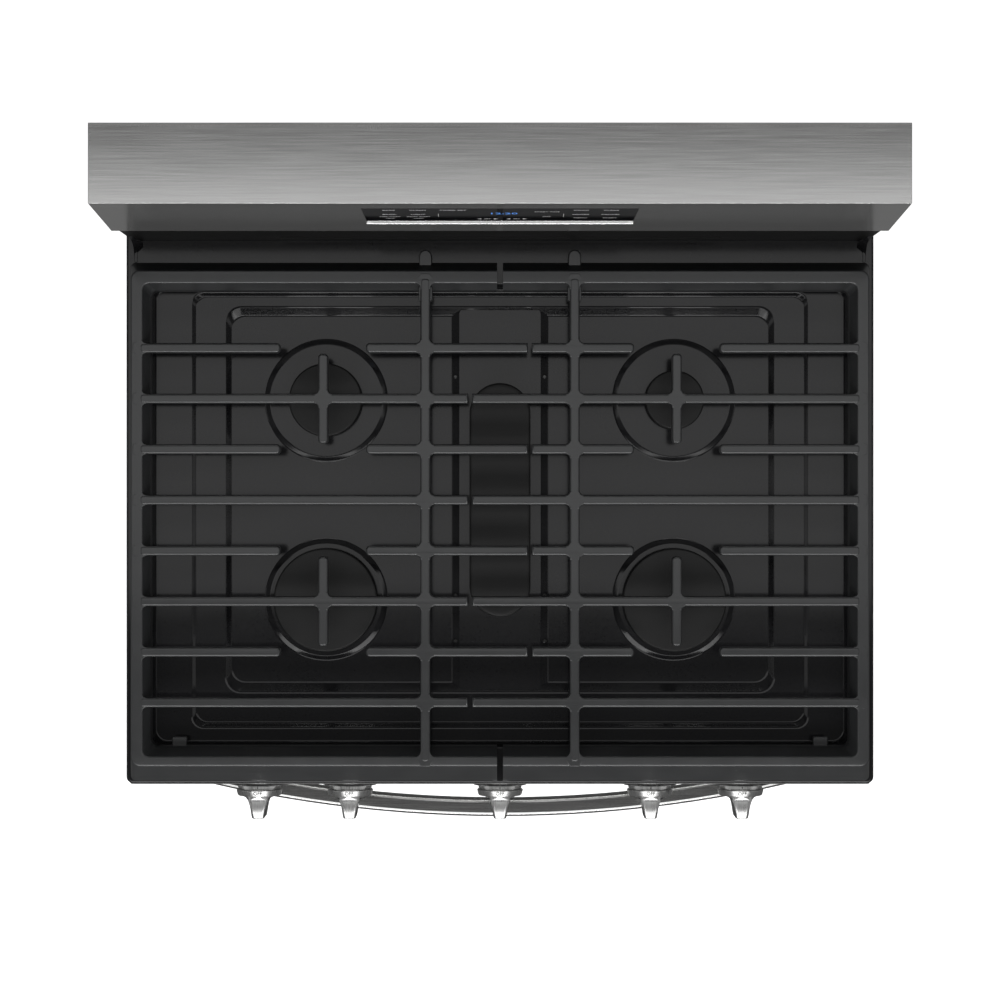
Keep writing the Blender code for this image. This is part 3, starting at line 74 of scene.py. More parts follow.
pan_low, pan_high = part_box("cooktop")
riser_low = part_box("backguard_riser")[0]
console_low, console_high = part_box("console_shell")
panel_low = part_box("manifold_panel")[0]
grate_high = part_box("grate_left")[1]
RIM = pan_high.z
FLOOR = pan_low.z + 1 * MM
LIP = pan_low.y
RISER = riser_low.y
HALF = pan_high.x
GRATE_TOP = grate_high.z
BURNER_AT = {name: middle_of("burner_cap_" + name) for name in BURNERS}
CAP_RADIUS = {name: (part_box("burner_cap_" + name)[1].x - BURNER_AT[name].x) for name in BURNERS}

# ---- Cooktop: side, front and rear insets, corner radius and drop below the rim ----
PAN_STEPS = (
    (25.5 * MM, 37.5 * MM, 44.3 * MM, 12 * MM, 0.0),
    (29.0 * MM, 41.5 * MM, 48.3 * MM, 12 * MM, 12 * MM),
    (65.0 * MM, 56.0 * MM, 51.8 * MM, 12 * MM, 12 * MM),
    (69.9 * MM, 60.4 * MM, 55.3 * MM, 12 * MM, 16 * MM),
    (99.3 * MM, 91.8 * MM, 66.0 * MM, 16 * MM, 16 * MM),
    (105.5 * MM, 100.8 * MM, 75.0 * MM, 14 * MM, 22 * MM),
)
PAN_SHEET = 1 * MM
DECK_BEHIND_RISER = 20 * MM
DISC_RADIUS = 63.0 * MM
DISC_TOP_RADIUS = 57.2 * MM
DISC_RISE = 2.2 * MM
PLATEAU_TOP = 41.5 * MM
PLATEAU_FOOT = 49.5 * MM
PLATEAU_RISE = 3.8 * MM
# how far each small screw of the raised strip is from the middle burner
FASTENERS = (-144 * MM, -97.2 * MM, 0, 54 * MM, 104.4 * MM, 126 * MM)
# height above the rim and reach in front of the riser of the deck ends' curve, in mm
DECK_END_CURVE = ((0, 16), (3, 11), (7, 7.5), (13, 4.5), (22, 2.4), (34, 1.0), (50, 0.2))

# ---- Burners ----
# inset and height over the underside, then inset and depth under the top, in mm
CAP_FOOT = ((3.0, 0.0), (0.8, 0.4), (0.0, 1.4))
CAP_SHOULDER = ((0.1, 2.2), (0.7, 1.0), (2.2, 0.25))
CAP_OVERHANG = 5 * MM
TOOTH_PITCH = 4.4 * MM
TOOTH_LENGTH = 2.5 * MM
TOOTH_WIDTH = 1.8 * MM
IGNITER_RADIUS = 3.4 * MM
IGNITER_ANGLE = math.radians(-48)

# ---- Grates ----
BAR_PITCH = 50.8 * MM
BAR_WIDTH = 9.8 * MM
BAR_DEPTH = 13 * MM
BAR_EDGE = 2.4 * MM
BURNER_BREAK = 43 * MM
CROSS_FINGER = 45 * MM
FINGER_REACH = 30 * MM
FINGER_GAP = 4 * MM
SPINE_X = 75 * MM
SEAM = 6 * MM
# foot and top of the frame's outer slope, top and foot of its inner slope
SIDE_RAIL = (5.5 * MM, 9.0 * MM, 20.5 * MM, 27.0 * MM)
FRONT_RAIL = (3.6 * MM, 21.0 * MM, 30.0 * MM, 39.8 * MM)
REAR_RAIL = (22.8 * MM, 32.9 * MM, 45.4 * MM, 52.0 * MM)
RAIL_APRON = 18 * MM
RAIL_DROP = 1.0 * MM
LUG_X = 75.4 * MM
LUG_RADIUS = 6.4 * MM
REST_NEAR = 317 * MM
REST_FAR = 332 * MM
ALL_CORNERS = ((1, 1), (-1, 1), (-1, -1), (1, -1))

# ---- Console face ----
CONSOLE_TOP_DEPTH = 74.5 * MM
GLASS_HALF = 129 * MM
GLASS_LOW = 56.1 * MM
GLASS_PROUD = 0.4 * MM
INK_DEPTH = 0.03 * MM
# the trim's section under the glass: up the face and out of it, in mm
GLASS_TRIM = ((-1.3, -0.1), (-1.2, 1.4), (-0.8, 1.8), (-0.4, 1.4), (-0.1, -0.1))
# the words in each column, with their height up the face and letter size, in mm
LEGENDS = (
    (-104, (("BAKE", 127, 5.0), ("BROIL", 103, 5.0), ("KEEP WARM", 90, 3.6), ("TEMP", 80, 3.6))),
    (-77, (("CLEAN", 127, 5.0), ("LIGHT", 103, 5.0), ("DELAY START", 90, 3.6), ("LOCK", 80, 3.6))),
    (-44, (("TIMER SET", 127, 5.6),)),
    (44, (("START TIME", 118, 4.4), ("OFF", 91, 4.4))),
    (76, (("COOK", 127, 5.0), ("POWER", 103, 4.6), ("MENU", 83, 4.6))),
    (104, (("CLEAR", 127, 5.0), ("CANCEL", 103, 4.6), ("START", 83, 4.6))),
)
# the arrows' places and turns, pointing up or down
ARROWS = ((-19, 90), (-4.5, -90), (8.5, 90), (23, -90))
ARROW_ROW = 77 * MM

# ---- Knobs and door handle ----
# inset from the skirt's edge and distance out of the panel, in mm
KNOB_SKIRT = (
    (1.5, 0), (1.5, 3.4), (1.9, 3.8), (3.0, 4.0), (3.0, 4.6), (0.9, 4.7), (0.2, 5.2), (0, 5.8),
)
TIER_TAPER = 0.26
TIER_FOOT = 5.8 * MM
TIER_HEAD = 10.6 * MM
# distance out of the panel, half width and half length of the blade, in mm
KNOB_BLADE = (
    (10.4, 21.0, 22.2),
    (11.3, 17.0, 22.6),
    (12.6, 13.6, 22.7),
    (14.4, 11.2, 22.6),
    (16.8, 9.7, 22.3),
    (20.5, 8.6, 21.8),
    (25.5, 7.7, 21.0),
    (31.0, 6.9, 20.0),
    (33.4, 6.4, 19.4),
    (34.0, 5.8, 18.8),
)
BLADE_TIP = (4.9, 17.9)
BLADE_FOOT = 14
BEZEL_RADIUS = 28.3 * MM
BEZEL_GAP = 0.9 * MM
BOW_RADIUS = 1.38
HANDLE_THICKNESS = 19 * MM
HANDLE_CORNER = 4.6 * MM
HANDLE_END = 3.0 * MM
POST_X = 285 * MM

# ---- Back and oven ----
RIB_HALF = 300
RIB_RISE = 9
RIB_HEIGHTS = (0.26, 0.38, 0.50, 0.62, 0.74, 0.86)
SIDE_SCREW_HEIGHTS = (0.09, 0.30, 0.56, 0.80, 0.98, 1.13)
# radius, foot, top and sides of a screw's washer and head, in mm
SCREW = ((4.0, 0.0, 0.7, 24), (2.64, 0.7, 3.0, 6))
RACK_ROD = 3.0 * MM
RACK_WIRE = 1.5 * MM
RACK_WIRES = 22
WINDOW_BORDER = 52 * MM

# ---- Lights: name, size, place, what it faces and radiance ----
LIGHTS = (
    ("overhead", (2.4, 0.56), (0, 0.12, 2.2), (0, 0.12, 0), 1.0),
    ("overhead_front", (2.4, 0.50), (0, -1.05, 2.2), (0, -1.05, 0), 2.8),
    ("front", (2.4, 1.5), (0, -1.95, 2.15), (0, -0.1, 0.9), 1.9),
    ("front_strip", (1.5, 0.12), (0, -2.2, 1.88), (0, 0.1, 0.9), 14.0),
    ("left", (1.0, 1.6), (-2.4, -0.3, 1.6), (0, 0, 0.8), 0.5),
    ("right", (1.0, 1.6), (2.4, -0.3, 1.6), (0, 0, 0.8), 0.5),
    ("behind", (2.0, 1.0), (0, 2.6, 1.8), (0, 0.3, 0.8), 0.6),
)


# ---- Finishes ----
def new_finish(name):
    material = bpy.data.materials.new(name)
    material.use_nodes = True
    tree = material.node_tree
    return material, tree, tree.nodes["Principled BSDF"]


def add_node(tree, kind, inputs=(), **settings):
    """A shader node with its settings, and inputs that are values or other nodes' outputs."""
    node = tree.nodes.new("ShaderNode" + kind)
    for key, value in settings.items():
        setattr(node, key, value)
    for socket, value in dict(inputs).items():
        if isinstance(value, bpy.types.NodeSocket):
            tree.links.new(value, node.inputs[socket])
        else:
            node.inputs[socket].default_value = value
    return node


def mapped_place(tree, stretch):
    place = add_node(tree, "TexCoord").outputs["Object"]
    return add_node(tree, "Mapping", {"Vector": place, "Scale": stretch}).outputs["Vector"]


def spread(tree, value, low, high, start=0.35, end=0.65):
    """The value from start to end, spread over low to high."""
    limits = {"From Min": start, "From Max": end, "To Min": low, "To Max": high}
    return add_node(tree, "MapRange", {"Value": value, **limits}).outputs["Result"]


def mix_colours(tree, factor, first, second):
    mix = add_node(tree, "Mix", {"Factor": factor}, data_type="RGBA")
    for socket, value in (("A", first), ("B", second)):
        colour_input = next(item for item in mix.inputs if item.name == socket and item.type == "RGBA")
        if isinstance(value, bpy.types.NodeSocket):
            tree.links.new(value, colour_input)
        else:
            colour_input.default_value = (*value, 1.0)
    return next(item for item in mix.outputs if item.type == "RGBA")


def set_constants(shader, constants):
    for socket, value in constants.items():
        shader.inputs[socket].default_value = value


def grained(name, tones, rough, scale, stretch=(1, 1, 1), bump=0.1, depth=0.1 * MM, broad=0.4, **constants):
    """A finish whose colour, gloss and relief follow a fine grain and a broad, faint mottle."""
    material, tree, shader = new_finish(name)
    place = mapped_place(tree, stretch)
    fine = add_node(tree, "TexNoise", {"Vector": place, "Scale": scale, "Detail": 3.0}).outputs["Fac"]
    wide = add_node(tree, "TexNoise", {"Vector": place, "Scale": scale / 35, "Detail": 2.0}).outputs["Fac"]
    wide = add_node(tree, "Math", {0: wide, 1: broad}, operation="MULTIPLY").outputs[0]
    both = add_node(tree, "Math", {0: fine, 1: 1 - broad, 2: wide}, operation="MULTIPLY_ADD").outputs[0]
    colour = mix_colours(tree, spread(tree, both, 0.0, 1.0), *tones)
    relief = add_node(tree, "Bump", {"Height": fine, "Strength": bump, "Distance": depth})
    tree.links.new(colour, shader.inputs["Base Color"])
    tree.links.new(spread(tree, both, *rough), shader.inputs["Roughness"])
    tree.links.new(relief.outputs["Normal"], shader.inputs["Normal"])
    set_constants(shader, {key.replace("_", " "): value for key, value in constants.items()})
    return material


def brushed(name, tones, rough, stretch, bump=0.015, metal=0.80):
    return grained(name, tones, rough, 900, stretch, bump, 0.05 * MM, 0.10, Metallic=metal)


def speckled_enamel(name):
    """Dark oven enamel with fine pale specks."""
    material, tree, shader = new_finish(name)
    place = mapped_place(tree, (1, 1, 1))
    specks = add_node(tree, "TexVoronoi", {"Vector": place, "Scale": 420.0}).outputs["Distance"]
    factor = spread(tree, specks, 1.0, 0.0, 0.10, 0.16)
    mottle = add_node(tree, "TexNoise", {"Vector": place, "Scale": 30.0, "Detail": 4.0}).outputs["Fac"]
    ground = mix_colours(tree, mottle, (0.018, 0.022, 0.034), (0.030, 0.035, 0.052))
    tree.links.new(mix_colours(tree, factor, ground, (0.35, 0.37, 0.40)), shader.inputs["Base Color"])
    tree.links.new(spread(tree, mottle, 0.16, 0.30), shader.inputs["Roughness"])
    return material


def spangled_zinc(name):
    """Hot-dipped zinc with its crystal spangle."""
    material, tree, shader = new_finish(name)
    place = mapped_place(tree, (1, 1, 1))
    cells = add_node(tree, "TexVoronoi", {"Vector": place, "Scale": 160.0})
    shade = add_node(tree, "RGBToBW", {"Color": cells.outputs["Color"]}).outputs["Val"]
    colour = mix_colours(tree, shade, (0.42, 0.43, 0.44), (0.56, 0.57, 0.58))
    tree.links.new(colour, shader.inputs["Base Color"])
    tree.links.new(spread(tree, shade, 0.38, 0.50, 0.0, 1.0), shader.inputs["Roughness"])
    relief = add_node(tree, "Bump", {"Height": shade, "Strength": 0.1, "Distance": 0.05 * MM})
    tree.links.new(relief.outputs["Normal"], shader.inputs["Normal"])
    set_constants(shader, {"Metallic": 1.0})
    return material


def woven_seal(name):
    """Braided glass cord with crossing strands."""
    material, tree, shader = new_finish(name)
    heights = []
    for turn in (-0.7, 0.7):
        place = add_node(tree, "TexCoord").outputs["Object"]
        turned = add_node(tree, "Mapping", {"Vector": place, "Rotation": (0, turn, 0)}).outputs["Vector"]
        heights.append(add_node(tree, "TexWave", {"Vector": turned, "Scale": 130.0}).outputs["Fac"])
    weave = add_node(tree, "Math", {0: heights[0], 1: heights[1]}, operation="MAXIMUM").outputs[0]
    colour = mix_colours(tree, weave, (0.02, 0.02, 0.02), (0.13, 0.13, 0.12))
    relief = add_node(tree, "Bump", {"Height": weave, "Strength": 0.6, "Distance": 0.4 * MM})
    tree.links.new(colour, shader.inputs["Base Color"])
    tree.links.new(relief.outputs["Normal"], shader.inputs["Normal"])
    set_constants(shader, {"Roughness": 0.9, "Sheen Weight": 0.2})
    return material


def tinted_glass(name, tint, roughness=0.02):
    """Glass with faint wiping marks in its gloss."""
    material, tree, shader = new_finish(name)
    place = mapped_place(tree, (1, 1, 1))
    marks = add_node(tree, "TexNoise", {"Vector": place, "Scale": 9.0, "Detail": 5.0}).outputs["Fac"]
    tree.links.new(spread(tree, marks, roughness, roughness + 0.03), shader.inputs["Roughness"])
    set_constants(shader, {"Base Color": (*tint, 1.0), "Transmission Weight": 1.0, "IOR": 1.45})
    return material


def printed_board(name):
    """Green circuit board with paler copper tracks."""
    material, tree, shader = new_finish(name)
    place = mapped_place(tree, (1, 0.001, 1))
    tracks = add_node(tree, "TexBrick", {"Vector": place, "Scale": 60.0, "Mortar Size": 0.03})
    tracks.inputs["Color1"].default_value = (0.01, 0.09, 0.04, 1)
    tracks.inputs["Color2"].default_value = (0.015, 0.12, 0.05, 1)
    tracks.inputs["Mortar"].default_value = (0.10, 0.30, 0.12, 1)
    tree.links.new(tracks.outputs["Color"], shader.inputs["Base Color"])
    set_constants(shader, {"Roughness": 0.45})
    return material


# Ink with an emission: on the clock digits it is the display's own light, on the white legends it is a
# painted glow.
def glowing_ink(name, colour, strength):
    material, tree, shader = new_finish(name)
    place = mapped_place(tree, (1, 1, 1))
    grain = add_node(tree, "TexNoise", {"Vector": place, "Scale": 2500.0}).outputs["Fac"]
    tree.links.new(spread(tree, grain, 0.5, 0.7), shader.inputs["Roughness"])
    values = {"Base Color": (*colour, 1), "Emission Color": (*colour, 1), "Emission Strength": strength}
    values["Specular IOR Level"] = 0.15
    set_constants(shader, values)
    return material


ALONG_X = (0.014, 1, 1)
STEEL = ((0.51, 0.51, 0.505), (0.61, 0.61, 0.605))
FINISH = {
    "stainless": brushed("brushed_stainless", STEEL, (0.16, 0.20), ALONG_X),
    # The handle's steel is a darker copy of the front's stainless: painted shade toning down its reflection.
    "handle": brushed(
        "handle_stainless_painted_darker", ((0.34, 0.34, 0.335), (0.40, 0.40, 0.395)), (0.18, 0.22), ALONG_X, 0.01, 1.0
    ),
    "knob": brushed(
        "knob_satin_steel", ((0.60, 0.60, 0.595), (0.66, 0.66, 0.655)), (0.27, 0.30), (1, 0.05, 1), 0.0, 1.0
    ),
    "polished": grained(
        "polished_edge", ((0.80, 0.80, 0.80), (0.88, 0.88, 0.88)), (0.05, 0.10), 300, Metallic=1.0
    ),
    "porcelain": grained(
        "black_porcelain", ((0.010, 0.010, 0.011), (0.013, 0.013, 0.014)), (0.10, 0.14), 420, bump=0.015,
        Specular_IOR_Level=0.38
    ),
    "iron": grained(
        "grate_iron", ((0.020, 0.021, 0.022), (0.030, 0.031, 0.032)), (0.34, 0.42), 1300, bump=0.10,
        Coat_Weight=0.35, Coat_Roughness=0.14
    ),
    "cap": grained(
        "cap_enamel", ((0.008, 0.008, 0.008), (0.012, 0.012, 0.012)), (0.50, 0.60), 1100, bump=0.12,
        Specular_IOR_Level=0.35
    ),
    "cast": grained(
        "die_cast_aluminium", ((0.50, 0.50, 0.49), (0.66, 0.66, 0.65)), (0.38, 0.55), 900, bump=0.2,
        Metallic=1.0
    ),
    "zinc": spangled_zinc("spangled_zinc"),
    "black": grained(
        "black_paint", ((0.010, 0.010, 0.011), (0.014, 0.014, 0.015)), (0.30, 0.40), 700, bump=0.08
    ),
    # Near-black paint of the riser; on the vent openings of back and door it serves as painted shade.
    "riser": grained(
        "riser_paint_and_slot_shade", ((0.004, 0.004, 0.004), (0.006, 0.006, 0.006)), (0.32, 0.42), 700, bump=0.05,
        Specular_IOR_Level=0.15
    ),
    "enamel": speckled_enamel("speckled_enamel"),
    "black_glass": grained(
        "control_glass", ((0.003, 0.003, 0.004), (0.005, 0.005, 0.006)), (0.04, 0.07), 40, bump=0.0
    ),
    "glass": tinted_glass("oven_glass", (0.22, 0.24, 0.24)),
    "lens": tinted_glass("lamp_glass", (0.90, 0.88, 0.80), 0.10),
    "fibre": grained(
        "glass_fibre", ((0.55, 0.48, 0.22), (0.85, 0.78, 0.50)), (0.9, 1.0), 500, (1, 0.3, 1), 0.8, MM
    ),
    "chrome": grained(
        "plated_wire", ((0.66, 0.66, 0.67), (0.76, 0.76, 0.77)), (0.08, 0.16), 200, Metallic=1.0
    ),
    "brass": grained(
        "machined_brass", ((0.55, 0.38, 0.13), (0.66, 0.49, 0.20)), (0.22, 0.36), 900, Metallic=1.0
    ),
    "board": printed_board("circuit_board"),
    "seal": woven_seal("braided_seal"),
    "plastic": grained(
        "leg_plastic", ((0.020, 0.020, 0.020), (0.034, 0.034, 0.034)), (0.42, 0.55), 1500, bump=0.15
    ),
    "dark_trim": grained(
        "dark_trim", ((0.012, 0.012, 0.012), (0.020, 0.020, 0.020)), (0.10, 0.18), 300, bump=0.0
    ),
    "ceramic": grained(
        "igniter_ceramic", ((0.20, 0.19, 0.17), (0.28, 0.27, 0.25)), (0.35, 0.5), 800, bump=0.05
    ),
    # The white legends' faint emission is a painted glow on the print.
    "white_ink": glowing_ink("white_print_painted_glow", (0.75, 0.75, 0.75), 0.12),
    "blue_ink": glowing_ink("clock_glow", (0.10, 0.28, 0.75), 0.55),
    "black_ink": glowing_ink("black_print", (0.010, 0.010, 0.010), 0.0),
    # Near-black finish for the knob blades' steep sides: painted shade standing for the dark reflection on
    # their steel.
    "knob_side": grained(
        "knob_side", ((0.008, 0.008, 0.008), (0.014, 0.014, 0.014)), (0.18, 0.28), 600, bump=0.03
    ),
}


# ---- Shaping helpers ----
def edges_of(verts):
    return list({edge for vert in verts for edge in vert.link_edges})


def edges_between(verts):
    chosen = set(verts)
    return [edge for edge in edges_of(verts) if set(edge.verts) <= chosen]


def round_edges(bm, edges, radius, segments=2):
    bmesh.ops.bevel(
        bm, geom=edges, offset=radius, affect="EDGES", segments=segments, profile=0.5, material=-1,
        clamp_overlap=True,
    )


def add_box(bm, low, high, radius=0.0):
    low, high = Vector(low), Vector(high)
    place = Matrix.Translation((low + high) / 2) @ Matrix.Diagonal((*(high - low), 1.0))
    verts = bmesh.ops.create_cube(bm, size=1.0, matrix=place)["verts"]
    if radius:
        round_edges(bm, edges_of(verts), radius)


def add_slab(bm, outline, low, high, radius):
    """An outline in X and Y from one height to another, with its upper edge rounded."""
    lower = [bm.verts.new((x, y, low)) for x, y in outline]
    made = bmesh.ops.extrude_face_region(bm, geom=[bm.faces.new(lower)])["geom"]
    upper = [item for item in made if isinstance(item, bmesh.types.BMVert)]
    bmesh.ops.translate(bm, vec=(0, 0, high - low), verts=upper)
    if not bm.faces.get(lower):
        bm.faces.new(lower)
    round_edges(bm, edges_between(upper), radius, 3)


def add_loft(bm, rings, closed=False):
    """A skin drawn out from ring to ring of points, capped at both ends or joined round when closed."""
    verts = [bm.verts.new(point) for point in rings[0]]
    edges = [bm.edges.new((vert, verts[i - 1])) for i, vert in enumerate(verts)]
    first = list(verts)
    if not closed:
        bmesh.ops.contextual_create(bm, geom=edges)
    for ring in list(rings[1:]) + ([rings[0]] if closed else []):
        made = bmesh.ops.extrude_edge_only(bm, edges=edges)["geom"]
        fresh = {item for item in made if isinstance(item, bmesh.types.BMVert)}
        verts = [next(e.other_vert(v) for e in v.link_edges if e.other_vert(v) in fresh) for v in verts]
        edges = [item for item in made if isinstance(item, bmesh.types.BMEdge) and set(item.verts) <= fresh]
        for vert, point in zip(verts, ring):
            vert.co = point
    if closed:
        bmesh.ops.remove_doubles(bm, verts=first + verts, dist=0.001 * MM)
    else:
        bmesh.ops.contextual_create(bm, geom=edges)


def add_turned(bm, profile, centre, axis, steps=48):
    """A profile of (radius, distance) pairs turned about the upright axis Z or the level axis Y."""
    along = Vector((0, 1, 0)) if axis == "Y" else Vector((0, 0, 1))
    centre = Vector(centre)
    verts = [bm.verts.new(centre + Vector((radius, 0, 0)) + along * far) for radius, far in profile]
    edges = [bm.edges.new(pair) for pair in zip(verts, verts[1:])]
    bmesh.ops.spin(
        bm, geom=verts + edges, cent=centre, axis=along, angle=math.tau, steps=steps, use_merge=True
    )
    bmesh.ops.remove_doubles(bm, verts=bm.verts, dist=0.001 * MM)


def rounded(x_low, x_high, y_low, y_high, radius, steps=6):
    """Points round a rectangle with rounded corners."""
    corners = (
        (x_high - radius, y_high - radius, 0),
        (x_low + radius, y_high - radius, 90),
        (x_low + radius, y_low + radius, 180),
        (x_high - radius, y_low + radius, 270),
    )
    points = []
    for x, y, start in corners:
        for step in range(steps + 1):
            angle = math.radians(start + 90 * step / steps)
            points.append((x + radius * math.cos(angle), y + radius * math.sin(angle)))
    return points


def at_level(outline, level):
    return [(x, y, level) for x, y in outline]


def arc(centre, radius, start, end, steps=6):
    angles = [math.radians(start + (end - start) * step / steps) for step in range(steps + 1)]
    return [(centre[0] + radius * math.cos(angle), centre[1] + radius * math.sin(angle)) for angle in angles]


def finish_piece(bm, name, body, finishes, replaces=(), sharp=34, fix_normals=True):
    """Makes the piece, shades it, and puts it on its body."""
    if fix_normals:
        bmesh.ops.recalc_face_normals(bm, faces=bm.faces)
    mesh = bpy.data.meshes.new(name)
    bm.to_mesh(mesh)
    bm.free()
    mesh.shade_smooth()
    mesh.set_sharp_from_angle(angle=math.radians(sharp))
    piece = bpy.data.objects.new(name, mesh)
    bpy.context.scene.collection.objects.link(piece)
    for key in finishes if isinstance(finishes, (list, tuple)) else [finishes]:
        mesh.materials.append(FINISH[key])
    even = piece.modifiers.new("even_shading", "WEIGHTED_NORMAL")
    even.keep_sharp = True
    even.weight = 60
    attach(piece, body)
    if replaces:
        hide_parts(*replaces)
    return piece


def edge_is_sharp(edge, angle=30):
    return len(edge.link_faces) == 2 and edge.calc_face_angle(0.0) > math.radians(angle)


def dress(node, finish, radius=0.3 * MM, segments=2):
    """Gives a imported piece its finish, and softens its edges."""
    piece = nodes[node]
    piece.data.materials.clear()
    piece.data.materials.append(FINISH[finish])
    weld = piece.modifiers.new("weld", "WELD")
    weld.merge_threshold = 0.002 * MM
    flat = piece.modifiers.new("flat", "DECIMATE")
    flat.decimate_type = "DISSOLVE"
    flat.angle_limit = math.radians(0.5)
    if radius:
        bevel = piece.modifiers.new("edges", "BEVEL")
        bevel.width = radius
        bevel.segments = segments
        bevel.limit_method = "ANGLE"
        bevel.angle_limit = math.radians(35)
        bevel.harden_normals = False


def reshaped(node, name, finish, choose, radius):
    """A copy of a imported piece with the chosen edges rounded, which stands for it."""
    bm = bmesh.new()
    bm.from_mesh(nodes[node].data)
    bmesh.ops.remove_doubles(bm, verts=bm.verts, dist=0.002 * MM)
    bmesh.ops.dissolve_limit(bm, angle_limit=math.radians(0.5), verts=bm.verts, edges=bm.edges)
    bm.normal_update()
    chosen = [edge for edge in bm.edges if edge_is_sharp(edge) and choose(edge)]
    round_edges(bm, chosen, radius, 4)
    return finish_piece(bm, name, nodes[node]["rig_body"], finish, (node,), fix_normals=False)


def on_planes(edge, low, high, skip=()):
    """How many of the box's sides the edge lies in, or none if it lies in a skipped side."""
    count = 0
    for axis, label in enumerate("XYZ"):
        for sign, level in (("-", low[axis]), ("+", high[axis])):
            if all(abs(vert.co[axis] - level) < 0.01 * MM for vert in edge.verts):
                if sign + label in skip:
                    return 0
                count += 1
    return count


# ---- Cooktop ----
def make_cooktop():
    """The pressed pan: a folded rim, then two steps down to the floor, with a skin underneath."""
    bm = bmesh.new()

    def step_ring(side, front, rear, radius, drop, sheet=0.0):
        grow = sheet * 0.6
        outline = rounded(
            -HALF + side - grow, HALF - side + grow, LIP + front - grow, RISER - rear + grow, radius, 8
        )
        return at_level(outline, RIM - drop - sheet)

    def rim_ring(inset, drop):
        outline = rounded(
            -HALF + inset, HALF - inset, LIP + inset, RISER + DECK_BEHIND_RISER - inset, 7 * MM - inset, 8
        )
        return at_level(outline, RIM - drop)

    turn, fold = 3.0 * MM, 14 * MM
    top = [rim_ring(0, fold), rim_ring(0, turn), rim_ring(0.08 * turn, 0.55 * turn)]
    top += [rim_ring(0.3 * turn, 0.3 * turn), rim_ring(0.55 * turn, 0.08 * turn), rim_ring(turn, 0)]
    top += [step_ring(*step) for step in PAN_STEPS]
    under = [rim_ring(PAN_SHEET, fold), rim_ring(PAN_SHEET, turn), rim_ring(turn, PAN_SHEET)]
    under += [step_ring(*step, PAN_SHEET) for step in PAN_STEPS]
    top.reverse()
    add_loft(bm, top + under)
    bmesh.ops.recalc_face_normals(bm, faces=bm.faces)

    def on_a_step(vert):
        inside = abs(vert.co.x) < HALF - 20 * MM and vert.co.y < RISER - 30 * MM
        return inside and FLOOR - 0.1 * MM < vert.co.z < RIM + 0.1 * MM

    steps = [edge for edge in bm.edges if edge_is_sharp(edge, 20) and all(map(on_a_step, edge.verts))]
    round_edges(bm, steps, 1.6 * MM, 3)
    finish_piece(bm, "cooktop_pan", "root", "porcelain", ("cooktop",), sharp=50)


def make_burner_seats():
    """The raised discs under the round burners and the raised strip under the oval one."""
    for name in BURNERS:
        at = BURNER_AT[name]
        bm = bmesh.new()
        if name == "center":
            low = LIP + PAN_STEPS[-1][1] - 9 * MM
            high = RISER - PAN_STEPS[-1][2] + 9 * MM
            half, run, rise = PLATEAU_TOP, PLATEAU_FOOT - PLATEAU_TOP, PLATEAU_RISE
            rings = []
            for grow, lift in (
                (run * 1.1, -0.5 * MM),
                (run * 0.95, 0.25 * MM),
                (run * 0.8, rise * 0.22),
                (run * 0.2, rise * 0.78),
                (run * 0.05, rise - 0.15 * MM),
                (-0.6 * MM, rise),
            ):
                outline = rounded(-half - grow, half + grow, low - grow / 2, high + grow / 2, 7 * MM + grow)
                rings.append(at_level(outline, FLOOR + lift))
            add_loft(bm, rings)
        else:
            radius, top, rise = DISC_RADIUS, DISC_TOP_RADIUS, DISC_RISE
            profile = [
                (0, -0.5 * MM),
                (radius + 0.5 * MM, -0.5 * MM),
                (radius, 0.05 * MM),
                (radius - 0.9 * MM, 0.35 * MM),
                (radius - 1.6 * MM, 0.8 * MM),
                (top + 1.3 * MM, rise - 0.6 * MM),
                (top + 0.6 * MM, rise - 0.15 * MM),
                (top - 0.6 * MM, rise),
                (0, rise),
            ]
            add_turned(bm, profile, (at.x, at.y, FLOOR), "Z", 96)
        finish_piece(bm, "burner_seat_" + name, "root", "porcelain", sharp=60)


def make_plateau_fasteners():
    """Small dark screws along the slopes of the raised strip."""
    bm = bmesh.new()
    x = (PLATEAU_TOP + PLATEAU_FOOT) / 2
    middle = BURNER_AT["center"].y
    head = [(0, 0), (2.0 * MM, 0), (2.0 * MM, 0.9 * MM), (1.4 * MM, 1.3 * MM), (0, 1.3 * MM)]
    for side in (-1, 1):
        for y in FASTENERS:
            add_turned(bm, head, (side * x, middle + y, FLOOR + PLATEAU_RISE / 2), "Z", 16)
    finish_piece(bm, "cooktop_fasteners", "root", "dark_trim")


def make_deck_ends():
    """The short upturned gussets that close the cooktop's rear corners against the riser."""
    back = RISER + MM
    for side, label in ((-1, "left"), (1, "right")):
        bm = bmesh.new()
        x = sorted((side * (HALF - 11.5 * MM), side * (HALF - 8.5 * MM)))
        add_box(bm, (x[0], RISER - 22.0 * MM, RIM - 0.6 * MM), (x[1], back, RIM + 0.9 * MM), 0.5 * MM)
        rings = []
        for lift, reach in DECK_END_CURVE:
            inner = side * (HALF - 12 * MM - reach * 0.35 * MM)
            front = RISER - reach * MM
            outline = (
                (inner, back),
                (inner, front + reach * 0.55 * MM),
                (side * (HALF - 8.2 * MM), front),
                (side * (HALF - 7.2 * MM), back),
            )
            rings.append(at_level(outline, RIM + lift * MM - 0.4 * MM))
        add_loft(bm, rings)
        finish_piece(bm, "deck_end_" + label, "root", "porcelain", sharp=60)


# ---- Burners ----
def cap_edge(low, high):
    """How far in the cap's edge lies, height by height."""
    foot = [(inset * MM, low + up * MM) for inset, up in CAP_FOOT]
    return foot + [(inset * MM, high - down * MM) for inset, down in CAP_SHOULDER]


